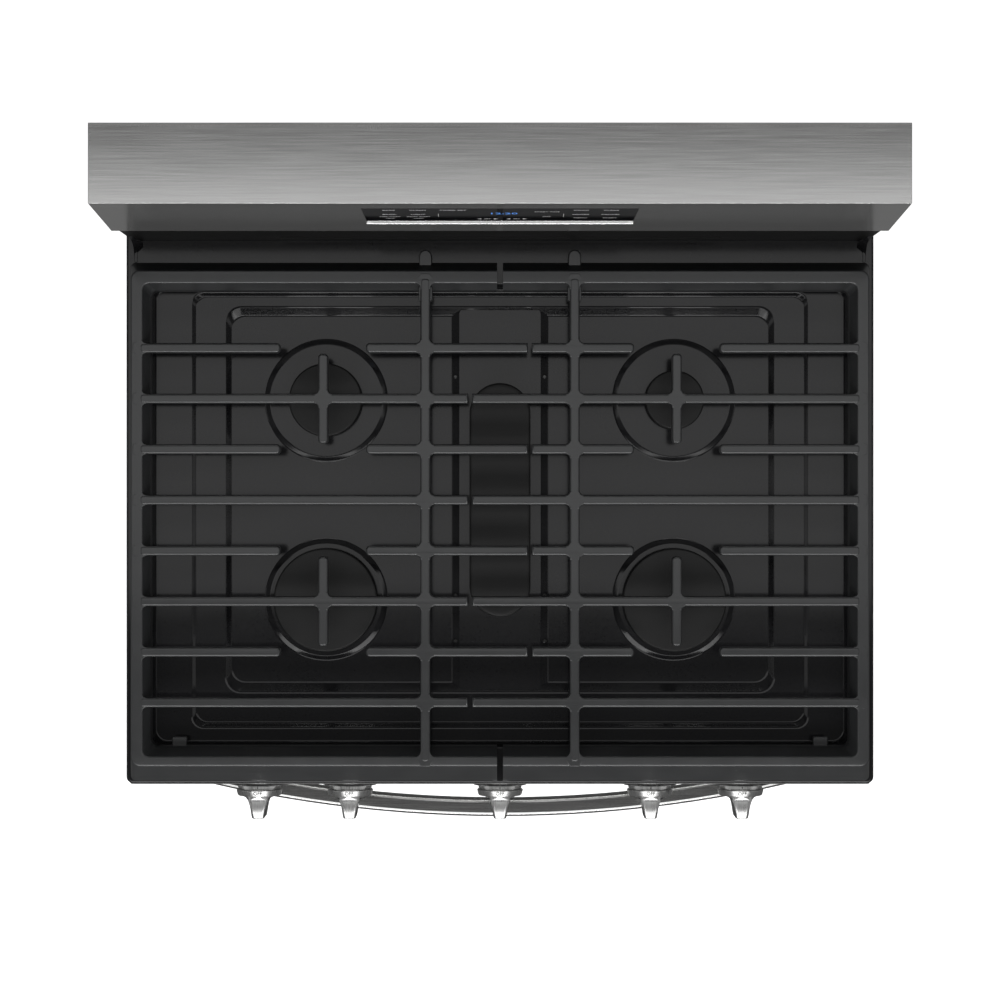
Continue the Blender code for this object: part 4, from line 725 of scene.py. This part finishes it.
def make_round_cap(name):
    at, radius = BURNER_AT[name], CAP_RADIUS[name]
    node = "burner_cap_" + name
    low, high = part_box(node)
    profile = [(0, low.z)] + [(radius - inset, level) for inset, level in cap_edge(low.z, high.z)]
    profile += [(radius * 0.5, high.z - 0.05 * MM), (0, high.z)]
    bm = bmesh.new()
    add_turned(bm, profile, (at.x, at.y, 0), "Z", 96)
    finish_piece(bm, "cap_" + name, "cap_" + name, "cap", (node,), sharp=60)


def oval(at, half, length, inset):
    return rounded(
        at.x - half + inset, at.x + half - inset, at.y - length + inset, at.y + length - inset,
        (half - inset) * 0.999, 16,
    )


def make_oval_cap():
    low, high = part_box("burner_cap_center")
    at = BURNER_AT["center"]
    half, length = (high.x - low.x) / 2, (high.y - low.y) / 2
    steps = cap_edge(low.z, high.z) + [(5.0 * MM, high.z)]
    bm = bmesh.new()
    add_loft(bm, [at_level(oval(at, half, length, inset), level) for inset, level in steps])
    finish_piece(bm, "cap_center", "cap_center", "cap", ("burner_cap_center",), sharp=60)


def make_flame_ring(name):
    """The crown of narrow teeth between the flame ports, round a burner's head."""
    at = BURNER_AT[name]
    cap_low, cap_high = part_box("burner_cap_" + name)
    low, high = cap_low.z - 8.5 * MM, cap_low.z - 0.4 * MM
    half = (cap_high.x - cap_low.x) / 2 - CAP_OVERHANG
    length = (cap_high.y - cap_low.y) / 2 - CAP_OVERHANG
    path = oval(at, half, length, 0.0)
    closed = path + path[:1]
    distance = [0.0]
    for first, second in zip(closed, closed[1:]):
        distance.append(distance[-1] + math.dist(first, second))
    count = round(distance[-1] / TOOTH_PITCH)
    bm = bmesh.new()
    segment = 0
    for tooth in range(count):
        reach = distance[-1] * tooth / count
        while distance[segment + 1] < reach:
            segment += 1
        start, end = Vector(closed[segment]), Vector(closed[segment + 1])
        run = (end - start).normalized()
        spot = start + run * (reach - distance[segment])
        turn = Matrix.Rotation(math.atan2(run.y, run.x), 4, "Z")
        place = Matrix.Translation((spot.x, spot.y, (low + high) / 2)) @ turn
        size = Matrix.Diagonal((TOOTH_LENGTH, TOOTH_WIDTH, high - low, 1.0))
        bmesh.ops.create_cube(bm, size=1.0, matrix=place @ size)
    finish_piece(bm, "flame_ring_" + name, "root", "cast")


def make_igniter(name):
    """The ceramic spark electrode beside a burner's head."""
    at = BURNER_AT[name]
    cap_low, cap_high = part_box("burner_cap_" + name)
    reach = (cap_high.x - cap_low.x) / 2 - IGNITER_RADIUS
    x = at.x + reach * math.cos(IGNITER_ANGLE)
    y = at.y + reach * math.sin(IGNITER_ANGLE)
    foot, top = FLOOR, cap_low.z - 0.8 * MM
    profile = [
        (0, foot),
        (IGNITER_RADIUS, foot),
        (IGNITER_RADIUS, foot + 1.5 * MM),
        (2.6 * MM, foot + 2.2 * MM),
        (2.6 * MM, top - 3.5 * MM),
        (1.8 * MM, top - 2.8 * MM),
        (0.7 * MM, top - 2.6 * MM),
        (0.7 * MM, top),
        (0, top),
    ]
    bm = bmesh.new()
    add_turned(bm, profile, (x, y, 0), "Z", 24)
    finish_piece(bm, "igniter_" + name, "root", "ceramic")


# ---- Grates ----
def bar_rows():
    """Every row's place, and whether its bars stop round the burners."""
    rear, front = BURNER_AT["left_rear"].y, BURNER_AT["left_front"].y
    middle = BURNER_AT["center"].y
    places = (rear + BAR_PITCH, rear, rear - BAR_PITCH, middle)
    places += (front + BAR_PITCH, front, front - BAR_PITCH, front - 2 * BAR_PITCH)
    return [(y, index % 2 == 0) for index, y in enumerate(places)]


def add_bar(bm, start, end, round_start, round_end, top):
    """A straight bar seen from above, with ends that are rounded or cut square."""
    start, end = Vector(start), Vector(end)
    run = (end - start).normalized()
    half = BAR_WIDTH / 2
    corner = 3.6 * MM
    outline = []
    for tip, direction, is_round in ((end, run, round_end), (start, -run, round_start)):
        side = Vector((-direction.y, direction.x))
        heading = math.degrees(math.atan2(direction.y, direction.x))
        if is_round:
            for sign, first in ((-1, -90), (1, 0)):
                centre = tip - direction * corner + side * sign * (half - corner)
                outline += arc(centre, corner, heading + first, heading + first + 90, 5)
        else:
            outline += [tuple(tip - side * half), tuple(tip + side * half)]
    add_slab(bm, outline, top - BAR_DEPTH, top, BAR_EDGE)


def add_web(bm, x, y, quadrants, top, radius=4.5 * MM):
    """The concave corners where two bars cross, in the named quadrants."""
    half = BAR_WIDTH / 2 - 0.05 * MM
    outline = []
    for index, (sx, sy) in enumerate(ALL_CORNERS):
        corner = (x + sx * half, y + sy * half)
        if (sx, sy) in quadrants:
            centre = (x + sx * (half + radius), y + sy * (half + radius))
            angles = {0: (270, 180), 1: (0, -90), 2: (90, 0), 3: (180, 90)}[index]
            outline += arc(centre, radius, *angles, 5)
        else:
            outline.append(corner)
    add_slab(bm, outline, top - BAR_DEPTH + 0.2 * MM, top - 0.02 * MM, BAR_EDGE)


def frame_ring(bm):
    """The frame of both grates in one, with slopes outside and inside, before it is cut at the seam."""
    foot, apron, top = RIM + 0.35 * MM, RIM + RAIL_APRON, GRATE_TOP - RAIL_DROP

    def ring(index, level, radius):
        side, front, rear = SIDE_RAIL[index], FRONT_RAIL[index], REAR_RAIL[index]
        return at_level(rounded(-HALF + side, HALF - side, LIP + front, RISER - rear, radius, 8), level)

    rings = [
        ring(0, foot, 5.0 * MM),
        ring(0, apron - 12.0 * MM, 5.0 * MM),
        ring(1, top, 9.0 * MM),
        ring(2, top + 0.6 * MM, 7.0 * MM),
        ring(3, apron, 6.5 * MM),
        ring(3, foot, 6.5 * MM),
    ]
    add_loft(bm, rings, closed=True)


def make_grate(side, label):
    """One half of the hob's grate, cast in one: frame, bars, spine, burner fingers and hinge lug."""
    bm = bmesh.new()
    frame_ring(bm)
    bmesh.ops.recalc_face_normals(bm, faces=bm.faces)
    seam = side * SEAM / 2
    cut = bmesh.ops.bisect_plane(
        bm,
        geom=bm.verts[:] + bm.edges[:] + bm.faces[:],
        plane_co=(seam, 0, 0),
        plane_no=(-side, 0, 0),
        clear_outer=True,
        dist=0.0001 * MM,
    )["geom_cut"]
    bmesh.ops.holes_fill(bm, edges=[item for item in cut if isinstance(item, bmesh.types.BMEdge)], sides=0)
    bmesh.ops.recalc_face_normals(bm, faces=bm.faces)

    def runs_along_the_top(edge):
        first, second = (vert.co for vert in edge.verts)
        level = abs(first.z - second.z) < 0.7 * MM and first.z > RIM + 3 * MM
        return level and max(abs(first.x - seam), abs(second.x - seam)) > 0.2 * MM

    slopes = [edge for edge in bm.edges if edge_is_sharp(edge, 14) and edge.calc_length() > 0.1 * MM]
    round_edges(bm, [edge for edge in slopes if runs_along_the_top(edge)], 1.5 * MM, 3)

    rail_out = side * (HALF - SIDE_RAIL[1] - 9 * MM)
    rail_in = side * (HALF - SIDE_RAIL[2])
    rear_y, front_y = BURNER_AT["left_rear"].y, BURNER_AT["left_front"].y
    burner_x = abs(BURNER_AT["left_rear"].x)
    spine_x = side * SPINE_X
    top = GRATE_TOP - 0.02 * MM
    rail_top = top - RAIL_DROP * 0.55
    for y, broken in bar_rows():
        tip = (FINGER_REACH if broken else -FINGER_REACH) + side * FINGER_GAP / 2
        if broken:
            add_bar(bm, (tip, y), (side * (burner_x - BURNER_BREAK), y), False, True, top)
            add_bar(bm, (side * (burner_x + BURNER_BREAK), y), (rail_out, y), True, True, top)
        else:
            add_bar(bm, (tip, y), (rail_out, y), False, True, top)
            if abs(y - rear_y) < MM or abs(y - front_y) < MM:
                add_web(bm, side * burner_x, y, ALL_CORNERS, top)
        add_web(bm, spine_x, y, ALL_CORNERS, top)
        add_web(bm, rail_in + side * BAR_WIDTH / 2, y, ((-side, 1), (-side, -1)), rail_top)
    spine_low = LIP + FRONT_RAIL[2] - 5 * MM
    spine_high = RISER - REAR_RAIL[2] + 5 * MM
    add_bar(bm, (spine_x, spine_low), (spine_x, spine_high), True, True, top - 0.03 * MM)
    for y, quadrants in (
        (LIP + FRONT_RAIL[2] - BAR_WIDTH / 2, ((1, 1), (-1, 1))),
        (RISER - REAR_RAIL[2] + BAR_WIDTH / 2, ((1, -1), (-1, -1))),
    ):
        add_web(bm, spine_x, y, quadrants, rail_top, 6.5 * MM)
    gusset_y = RISER - REAR_RAIL[3]
    gusset = rounded(spine_x - 7 * MM, spine_x + 7 * MM, gusset_y - 11 * MM, gusset_y + 4 * MM, 2 * MM, 3)
    add_slab(bm, gusset, RIM + 8 * MM, GRATE_TOP - 8 * MM, 1.2 * MM)
    for y in (rear_y, front_y):
        x = side * burner_x
        add_bar(bm, (x, y - CROSS_FINGER), (x, y + CROSS_FINGER), True, True, top - 0.03 * MM)
    rest = sorted((side * REST_NEAR, side * REST_FAR))
    rest_y = LIP + FRONT_RAIL[3]
    low, high = (rest[0], rest_y - 3 * MM, RIM + 2 * MM), (rest[1], rest_y + 8.5 * MM, RIM + 9 * MM)
    add_box(bm, low, high, 1.2 * MM)
    lug_x, lug_y, lug_foot = side * LUG_X, grate_high.y - LUG_RADIUS, RISER - REAR_RAIL[1]
    lug = [(lug_x + LUG_RADIUS, lug_foot), (lug_x + LUG_RADIUS, lug_y)]
    lug += arc((lug_x, lug_y), LUG_RADIUS, 0, 180, 12)[1:-1]
    lug += [(lug_x - LUG_RADIUS, lug_y), (lug_x - LUG_RADIUS, lug_foot)]
    add_slab(bm, lug, RIM + 5 * MM, RIM + 15 * MM, 1.5 * MM)
    finish_piece(
        bm, "grate_casting_" + label, label + "_grate", "iron", ("grate_" + label,), sharp=48
    )


# ---- Knobs and manifold panel ----
def wrap_on_tier(verts, centre, radius, foot):
    """Bends flat printing over the top of the tapering tier, whose wide end is at the foot."""
    for vert in verts:
        reach = radius - TIER_TAPER * (foot - vert.co.y) + vert.co.z
        angle = (vert.co.x - centre.x) / radius
        vert.co.x = centre.x + reach * math.sin(angle)
        vert.co.z = centre.z + reach * math.cos(angle)


def text_mesh(words, size, weight):
    curve = bpy.data.curves.new("words", "FONT")
    curve.body = words
    curve.size = size
    curve.align_x = "CENTER"
    curve.align_y = "CENTER"
    curve.extrude = INK_DEPTH / 2
    curve.resolution_u = 2
    curve.offset = weight
    writing = bpy.data.objects.new("words", curve)
    bpy.context.scene.collection.objects.link(writing)
    graph = bpy.context.evaluated_depsgraph_get()
    mesh = bpy.data.meshes.new_from_object(writing.evaluated_get(graph))
    bpy.data.objects.remove(writing, do_unlink=True)
    return mesh


def add_text(bm, words, size, place, weight=0.0):
    mesh = text_mesh(words, size, weight)
    mesh.transform(place)
    before = set(bm.verts)
    bm.from_mesh(mesh)
    bpy.data.meshes.remove(mesh)
    return [vert for vert in bm.verts if vert not in before]


def make_grip(node, body, centre, skirt, depth):
    """The knob itself: a turned skirt and tier, and the blade that the fingers hold."""
    tier_top = skirt - TIER_TAPER * (TIER_HEAD - TIER_FOOT)
    profile = [(0, 0)] + [(skirt - inset * MM, -far * MM) for inset, far in KNOB_SKIRT]
    profile += [(tier_top, -TIER_HEAD), (tier_top - 0.8 * MM, -11.3 * MM)]
    profile += [(skirt - 9.0 * MM, -12.0 * MM), (0, -12.0 * MM)]
    bm = bmesh.new()
    add_turned(bm, profile, centre, "Y", 96)
    rings = []
    for far, half, length in (*KNOB_BLADE, (depth / MM, *BLADE_TIP)):
        corner = half * 0.92 if far < BLADE_FOOT else min(3.2, half * 0.55)
        ring = []
        for x, z in rounded(-half * MM, half * MM, -length * MM, length * MM, corner * MM, 8):
            scale = min(1.0, (tier_top - 1.0 * MM) / math.hypot(x, z))
            ring.append((centre.x + x * scale, centre.y - far * MM, centre.z + z * scale))
        rings.append(ring)
    add_loft(bm, rings)
    bmesh.ops.recalc_face_normals(bm, faces=bm.faces)
    # The blade's steep side faces take the near-black finish: painted shade for the dark reflection on the
    # steel.
    for face in bm.faces:
        forward = centre.y - face.calc_center_median().y
        if abs(face.normal.x) > 0.80 and forward > 13.5 * MM and face.calc_area() > 1e-7:
            face.material_index = 1
    finish_piece(
        bm, node.replace("knob_", "grip_"), body, ("knob", "knob_side"), (node,), sharp=40
    )


def make_bezel(name, centre, skirt):
    """The dark ring on the panel round a knob's skirt."""
    back, front = panel_low.y + 4 * MM, panel_low.y - 0.25 * MM
    outer, inner = BEZEL_RADIUS, skirt + BEZEL_GAP
    section = [
        (inner, back),
        (outer, back),
        (outer, front + 1.0 * MM),
        (outer - 1.0 * MM, front),
        (inner + 0.6 * MM, front),
        (inner, front + 0.6 * MM),
        (inner, back),
    ]
    bm = bmesh.new()
    add_turned(bm, section, (centre.x, 0, centre.z), "Y", 96)
    finish_piece(bm, name, "root", "dark_trim")


def make_knob(name):
    """A knob, the word and the pointer on it, and its bezel."""
    node, body = "knob_" + name, "knob_body_" + name
    low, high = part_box(node)
    centre = Vector(((low.x + high.x) / 2, high.y, (low.z + high.z) / 2))
    skirt = (high.x - low.x) / 2
    make_grip(node, body, centre, skirt, high.y - low.y)

    ink = bmesh.new()
    place = Matrix.Translation((centre.x, centre.y - 8.1 * MM, 0.0))
    verts = add_text(ink, "OFF", 5.4 * MM, place, 0.12 * MM)
    wrap_on_tier(verts, centre, skirt + 0.08 * MM, centre.y - TIER_FOOT)
    finish_piece(ink, "off_mark_" + name, body, "black_ink", fix_normals=False)

    tick = bmesh.new()
    add_box(
        tick,
        (centre.x - 0.35 * MM, centre.y - 3.2 * MM, centre.z + skirt - 1.6 * MM),
        (centre.x + 0.35 * MM, centre.y - 0.4 * MM, centre.z + skirt - 1.35 * MM),
    )
    finish_piece(tick, "pointer_" + name, body, "dark_trim")
    make_bezel("bezel_" + name, centre, skirt)


# ---- Console ----
face_foot = Vector((0, console_low.y, console_low.z))
face_head = Vector((0, console_high.y - CONSOLE_TOP_DEPTH, console_high.z))
face_up = (face_head - face_foot).normalized()
face_out = Vector((0, -face_up.z, face_up.y))


def on_face(x, up, out):
    """Where something printed or fixed on the console's leaning face goes."""
    spot = face_foot + face_up * up + face_out * out + Vector((x, 0, 0))
    turn = Matrix((Vector((1, 0, 0)), face_up, face_out)).transposed().to_4x4()
    return Matrix.Translation(spot) @ turn


def make_console():
    """The shell with its edges rounded, but for those at its back, and the bright trim under the glass."""

    def choose(edge):
        return on_planes(edge, console_low, console_high, ("+Y",)) >= 1

    reshaped("console_shell", "console_cover", "stainless", choose, 1.9 * MM)
    half = GLASS_HALF - 1.6 * MM
    rings = []
    for x in (-half, half):
        rings.append([on_face(x, GLASS_LOW + up * MM, out * MM).translation for up, out in GLASS_TRIM])
    bm = bmesh.new()
    add_loft(bm, rings)
    finish_piece(bm, "glass_trim", "root", "polished")


def make_control_print():
    """Small generic words, arrows and dividers on the glass, and the lit clock."""
    white = bmesh.new()
    out = GLASS_PROUD + INK_DEPTH
    for x, lines in LEGENDS:
        for words, up, size in lines:
            add_text(white, words, size * MM, on_face(x * MM, up * MM, out))
    for x in (-58, 60):
        place = on_face(x * MM, 98 * MM, out)
        line = place @ Matrix.Diagonal((0.3 * MM, 18 * MM, INK_DEPTH, 1.0))
        bmesh.ops.create_cube(white, size=1.0, matrix=line)
    for x, turn in ARROWS:
        place = on_face(x * MM, ARROW_ROW, out) @ Matrix.Rotation(math.radians(turn), 4, "Z")
        bmesh.ops.create_cone(
            white, cap_ends=True, segments=3, radius1=2.6 * MM, radius2=2.6 * MM, depth=0.05 * MM,
            matrix=place,
        )
    for x in (-11.8, 15.8):
        add_text(white, "SET", 4.2 * MM, on_face(x * MM, ARROW_ROW, out))
    finish_piece(white, "control_legends", "root", "white_ink", fix_normals=False)
    blue = bmesh.new()
    add_text(blue, "12:20", 12.5 * MM, on_face(3 * MM, 108 * MM, out))
    finish_piece(blue, "clock_digits", "root", "blue_ink", fix_normals=False)


# ---- Back and underside details ----
def add_rod(bm, start, end, radius, sides):
    """A plain rod from start to end, whose corners the caller rounds."""
    start, end = Vector(start), Vector(end)
    turn = (end - start).to_track_quat("Z", "Y").to_matrix().to_4x4()
    return bmesh.ops.create_cone(
        bm,
        cap_ends=True,
        segments=sides,
        radius1=radius,
        radius2=radius,
        depth=(end - start).length,
        matrix=Matrix.Translation((start + end) / 2) @ turn,
    )["verts"]


def add_screw(bm, x, y, z):
    """A hexagon head on a washer, standing out to the back."""
    for radius, low, high, sides in SCREW:
        verts = add_rod(bm, (x, y + low * MM, z), (x, y + high * MM, z), radius * MM, sides)
        far = [vert for vert in verts if vert.co.y > y + (high - 0.1) * MM]
        round_edges(bm, edges_between(far), 0.3 * MM)


def make_back_details():
    """The back panel's pressed ribs, vent openings drawn as dark plates of painted shade, and screws."""
    low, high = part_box("back_panel")
    ribs = bmesh.new()
    for middle in RIB_HEIGHTS:
        outline = rounded(
            -RIB_HALF * MM, RIB_HALF * MM, middle - RIB_RISE * MM, middle + RIB_RISE * MM, 8.9 * MM, 6
        )
        rings = []
        for inset, out in ((0.0, -0.2), (1.6, 0.45), (4.5, 0.9)):
            along, across = (RIB_HALF - inset) / RIB_HALF, (RIB_RISE - inset) / RIB_RISE
            y = high.y + out * MM
            rings.append([(x * along, y, middle + (z - middle) * across) for x, z in outline])
        add_loft(ribs, rings)
    finish_piece(ribs, "back_panel_ribs", "root", "zinc", sharp=60)
    # Dark plates over the vent openings: painted shade standing for the dark inside the slots.
    vent_shade = bmesh.new()
    for row in range(5):
        for column in range(-4, 5):
            x, z = column * 62 * MM, 1.055 + row * 20 * MM
            add_box(vent_shade, (x - 22 * MM, high.y - 0.5 * MM, z), (x + 22 * MM, high.y + 0.06 * MM, z + 5 * MM))
    finish_piece(vent_shade, "back_vent_shade", "root", "riser")
    screws = bmesh.new()
    for z in SIDE_SCREW_HEIGHTS:
        for side in (-1, 1):
            add_screw(screws, side * (high.x - 9 * MM), high.y, z)
    for x in (-0.22, 0.0, 0.22):
        for z in (low.z + 10 * MM, high.z - 60 * MM):
            add_screw(screws, x, high.y, z)
    finish_piece(screws, "back_screws", "root", "zinc", sharp=30)


def make_door_details():
    """Vent openings in the door's upper edge drawn as dark plates of painted shade, and the dark printed
    border round the window.
    """
    low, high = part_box("door_skin")
    # Dark plates over the vent openings: painted shade standing for the dark inside the slots.
    slot_shade = bmesh.new()
    for column in range(-9, 10):
        x = column * 32 * MM
        add_box(
            slot_shade,
            (x - 11 * MM, low.y + 9 * MM, high.z - 0.5 * MM),
            (x + 11 * MM, low.y + 13 * MM, high.z + 0.05 * MM),
        )
    finish_piece(slot_shade, "door_vent_shade", "oven_door", "riser")
    low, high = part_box("door_glass_outer")
    front = low.y - 0.06 * MM
    back = front + 0.05 * MM
    rings = []
    for inset, radius, y in (
        (0.5 * MM, 30 * MM, front),
        (WINDOW_BORDER, 12 * MM, front),
        (WINDOW_BORDER, 12 * MM, back),
        (0.5 * MM, 30 * MM, back),
    ):
        outline = rounded(low.x + inset, high.x - inset, low.z + inset, high.z - inset, radius, 8)
        rings.append([(x, y, z) for x, z in outline])
    bm = bmesh.new()
    add_loft(bm, rings, closed=True)
    finish_piece(bm, "window_border", "oven_door", "dark_trim")


def make_racks():
    """Wire racks with smooth, round wires."""
    for label in ("lower", "upper"):
        node = "oven_rack_" + label
        low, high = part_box(node)
        bm = bmesh.new()

        def add_wire(start, end, radius, sides=14):
            made = add_rod(bm, start, end, radius, sides)
            caps = [face for face in {f for v in made for f in v.link_faces} if len(face.verts) == sides]
            round_edges(bm, list({edge for face in caps for edge in face.edges}), radius * 0.6, 3)

        level = (low.z + high.z) / 2 - 0.2 * MM
        left, right = low.x + RACK_ROD, high.x - RACK_ROD
        front, back = low.y + RACK_ROD, high.y - RACK_ROD
        for x in (left, right):
            add_wire((x, front - RACK_ROD, level), (x, back + RACK_ROD, level), RACK_ROD)
        for y in (front, (front + back) / 2, back):
            add_wire((left, y, level), (right, y, level), RACK_ROD * 0.9)
        for step in range(1, RACK_WIRES + 1):
            x = left + (right - left) * step / (RACK_WIRES + 1)
            add_wire((x, front, level + 1.3 * MM), (x, back, level + 1.3 * MM), RACK_WIRE, 10)
        finish_piece(bm, "rack_" + label, label + "_rack", "chrome", (node,))


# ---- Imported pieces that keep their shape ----
DRESSED = {
    "zinc": ("base_frame", "front_frame", "door_hinge_left", "door_hinge_right", "oven_flue"),
    "black": ("side_panel_left", "side_panel_right"),
    "riser": ("backguard_riser",),
    "enamel": ("oven_cavity", "oven_floor_plate", "door_liner"),
    "glass": ("door_glass_outer", "door_glass_inner"),
    "fibre": ("oven_insulation",),
    "board": ("control_board",),
    "seal": ("door_gasket",),
    "cast": ("gas_manifold",) + tuple("burner_base_" + name for name in BURNERS),
    "lens": ("oven_lamp_lens",),
    "brass": ("gas_regulator",) + tuple("valve_stem_" + name for name in BURNERS),
    "chrome": ("temperature_probe",),
    "plastic": tuple("leveling_leg_" + name for name in LEGS),
}


def dress_packed_pieces():
    for finish, names in DRESSED.items():
        for name in names:
            dress(name, finish)
    dress("back_panel", "zinc", 0.2 * MM)
    dress("drawer_box", "zinc", 0.3 * MM)
    dress("bake_burner", "zinc", 0.3 * MM)
    dress("broil_burner", "zinc", 0.6 * MM)
    dress("control_glass", "black_glass", 0.2 * MM)


def make_front_panels():
    """The stainless faces of the door, the drawer and the knob panel, with rounded outer edges."""
    for node, name in (
        ("door_skin", "door_panel"), ("drawer_front", "drawer_panel"), ("manifold_panel", "knob_panel")
    ):
        low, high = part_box(node)
        if node == "manifold_panel":
            low.y += 4 * MM

        def choose(edge, low=low, high=high):
            return on_planes(edge, low, high, ("+Y",)) >= 2

        reshaped(node, name, "stainless", choose, 2.2 * MM)


def make_handle():
    """The bowed bar, whose ends turn in to the door as posts."""
    low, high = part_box("door_handle")
    span = high.x
    right = [POST_X - 2 * MM, POST_X + 2 * MM, span - HANDLE_END, span - 0.3 * HANDLE_END, span]
    rings = []
    for x in [-x for x in reversed(right)] + [step * 26 * MM for step in range(-10, 11)] + right:
        inset = max(0.0, HANDLE_END - (span - abs(x))) * 0.7
        front = low.y + BOW_RADIUS - math.sqrt(BOW_RADIUS**2 - x**2)
        back = high.y if abs(x) > POST_X else front + HANDLE_THICKNESS
        corner = min(HANDLE_CORNER, (back - front - inset) * 0.45)
        section = rounded(front + inset, back, low.z + inset, high.z - inset, corner, 6)
        rings.append([(x, y, z) for y, z in section])
    bm = bmesh.new()
    add_loft(bm, rings)
    finish_piece(bm, "handle_bar", "oven_door", "handle", ("door_handle",), sharp=50)


# ---- Stage ----
def make_stage():
    bm = bmesh.new()
    bmesh.ops.create_grid(bm, x_segments=1, y_segments=1, size=12.0)
    mesh = bpy.data.meshes.new("floor")
    bm.to_mesh(mesh)
    bm.free()
    floor = bpy.data.objects.new("floor", mesh)
    bpy.context.scene.collection.objects.link(floor)
    material, tree, shader = new_finish("pale_floor")
    place = mapped_place(tree, (1, 1, 1))
    mottle = add_node(tree, "TexNoise", {"Vector": place, "Scale": 2.0}).outputs["Fac"]
    colour = mix_colours(tree, mottle, (0.90, 0.90, 0.90), (0.93, 0.93, 0.93))
    tree.links.new(colour, shader.inputs["Base Color"])
    set_constants(shader, {"Roughness": 0.9, "Emission Color": (1, 1, 1, 1), "Emission Strength": 0.85})
    mesh.materials.append(material)
    floor.visible_glossy = False
    floor.visible_diffuse = False


def add_light(name, size, at, target, radiance):
    """A soft rectangular light that glows with the given radiance."""
    light = bpy.data.lights.new(name, "AREA")
    light.shape = "RECTANGLE"
    light.size, light.size_y = size
    light.energy = radiance * math.pi * size[0] * size[1]
    holder = bpy.data.objects.new(name, light)
    bpy.context.scene.collection.objects.link(holder)
    holder.location = at
    direction = Vector(target) - Vector(at)
    holder.rotation_euler = direction.to_track_quat("-Z", "Y").to_euler()
    holder.visible_camera = False


def make_lights():
    world = bpy.data.worlds.new("studio")
    world.use_nodes = True
    world.node_tree.nodes["Background"].inputs["Color"].default_value = (1, 1, 1, 1)
    world.node_tree.nodes["Background"].inputs["Strength"].default_value = 0.12
    bpy.context.scene.world = world
    for light in LIGHTS:
        add_light(*light)


def make_camera():
    camera = bpy.data.cameras.new("camera")
    camera.sensor_width = 36.0
    camera.lens = 105.26
    holder = bpy.data.objects.new("camera", camera)
    bpy.context.scene.collection.objects.link(holder)
    holder.location = (0.0, -4.75 * MM, 3.882)
    bpy.context.scene.camera = holder
    bpy.context.scene.view_settings.view_transform = "Standard"


def main():
    make_camera()
    make_stage()
    make_lights()
    dress_packed_pieces()
    make_front_panels()
    make_handle()
    make_cooktop()
    make_burner_seats()
    make_plateau_fasteners()
    make_deck_ends()
    for name in BURNERS:
        if name == "center":
            make_oval_cap()
        else:
            make_round_cap(name)
        make_flame_ring(name)
        make_igniter(name)
    for side, label in ((-1, "left"), (1, "right")):
        make_grate(side, label)
    for name in BURNERS:
        make_knob(name)
    make_console()
    make_control_print()
    make_back_details()
    make_door_details()
    make_racks()


main()
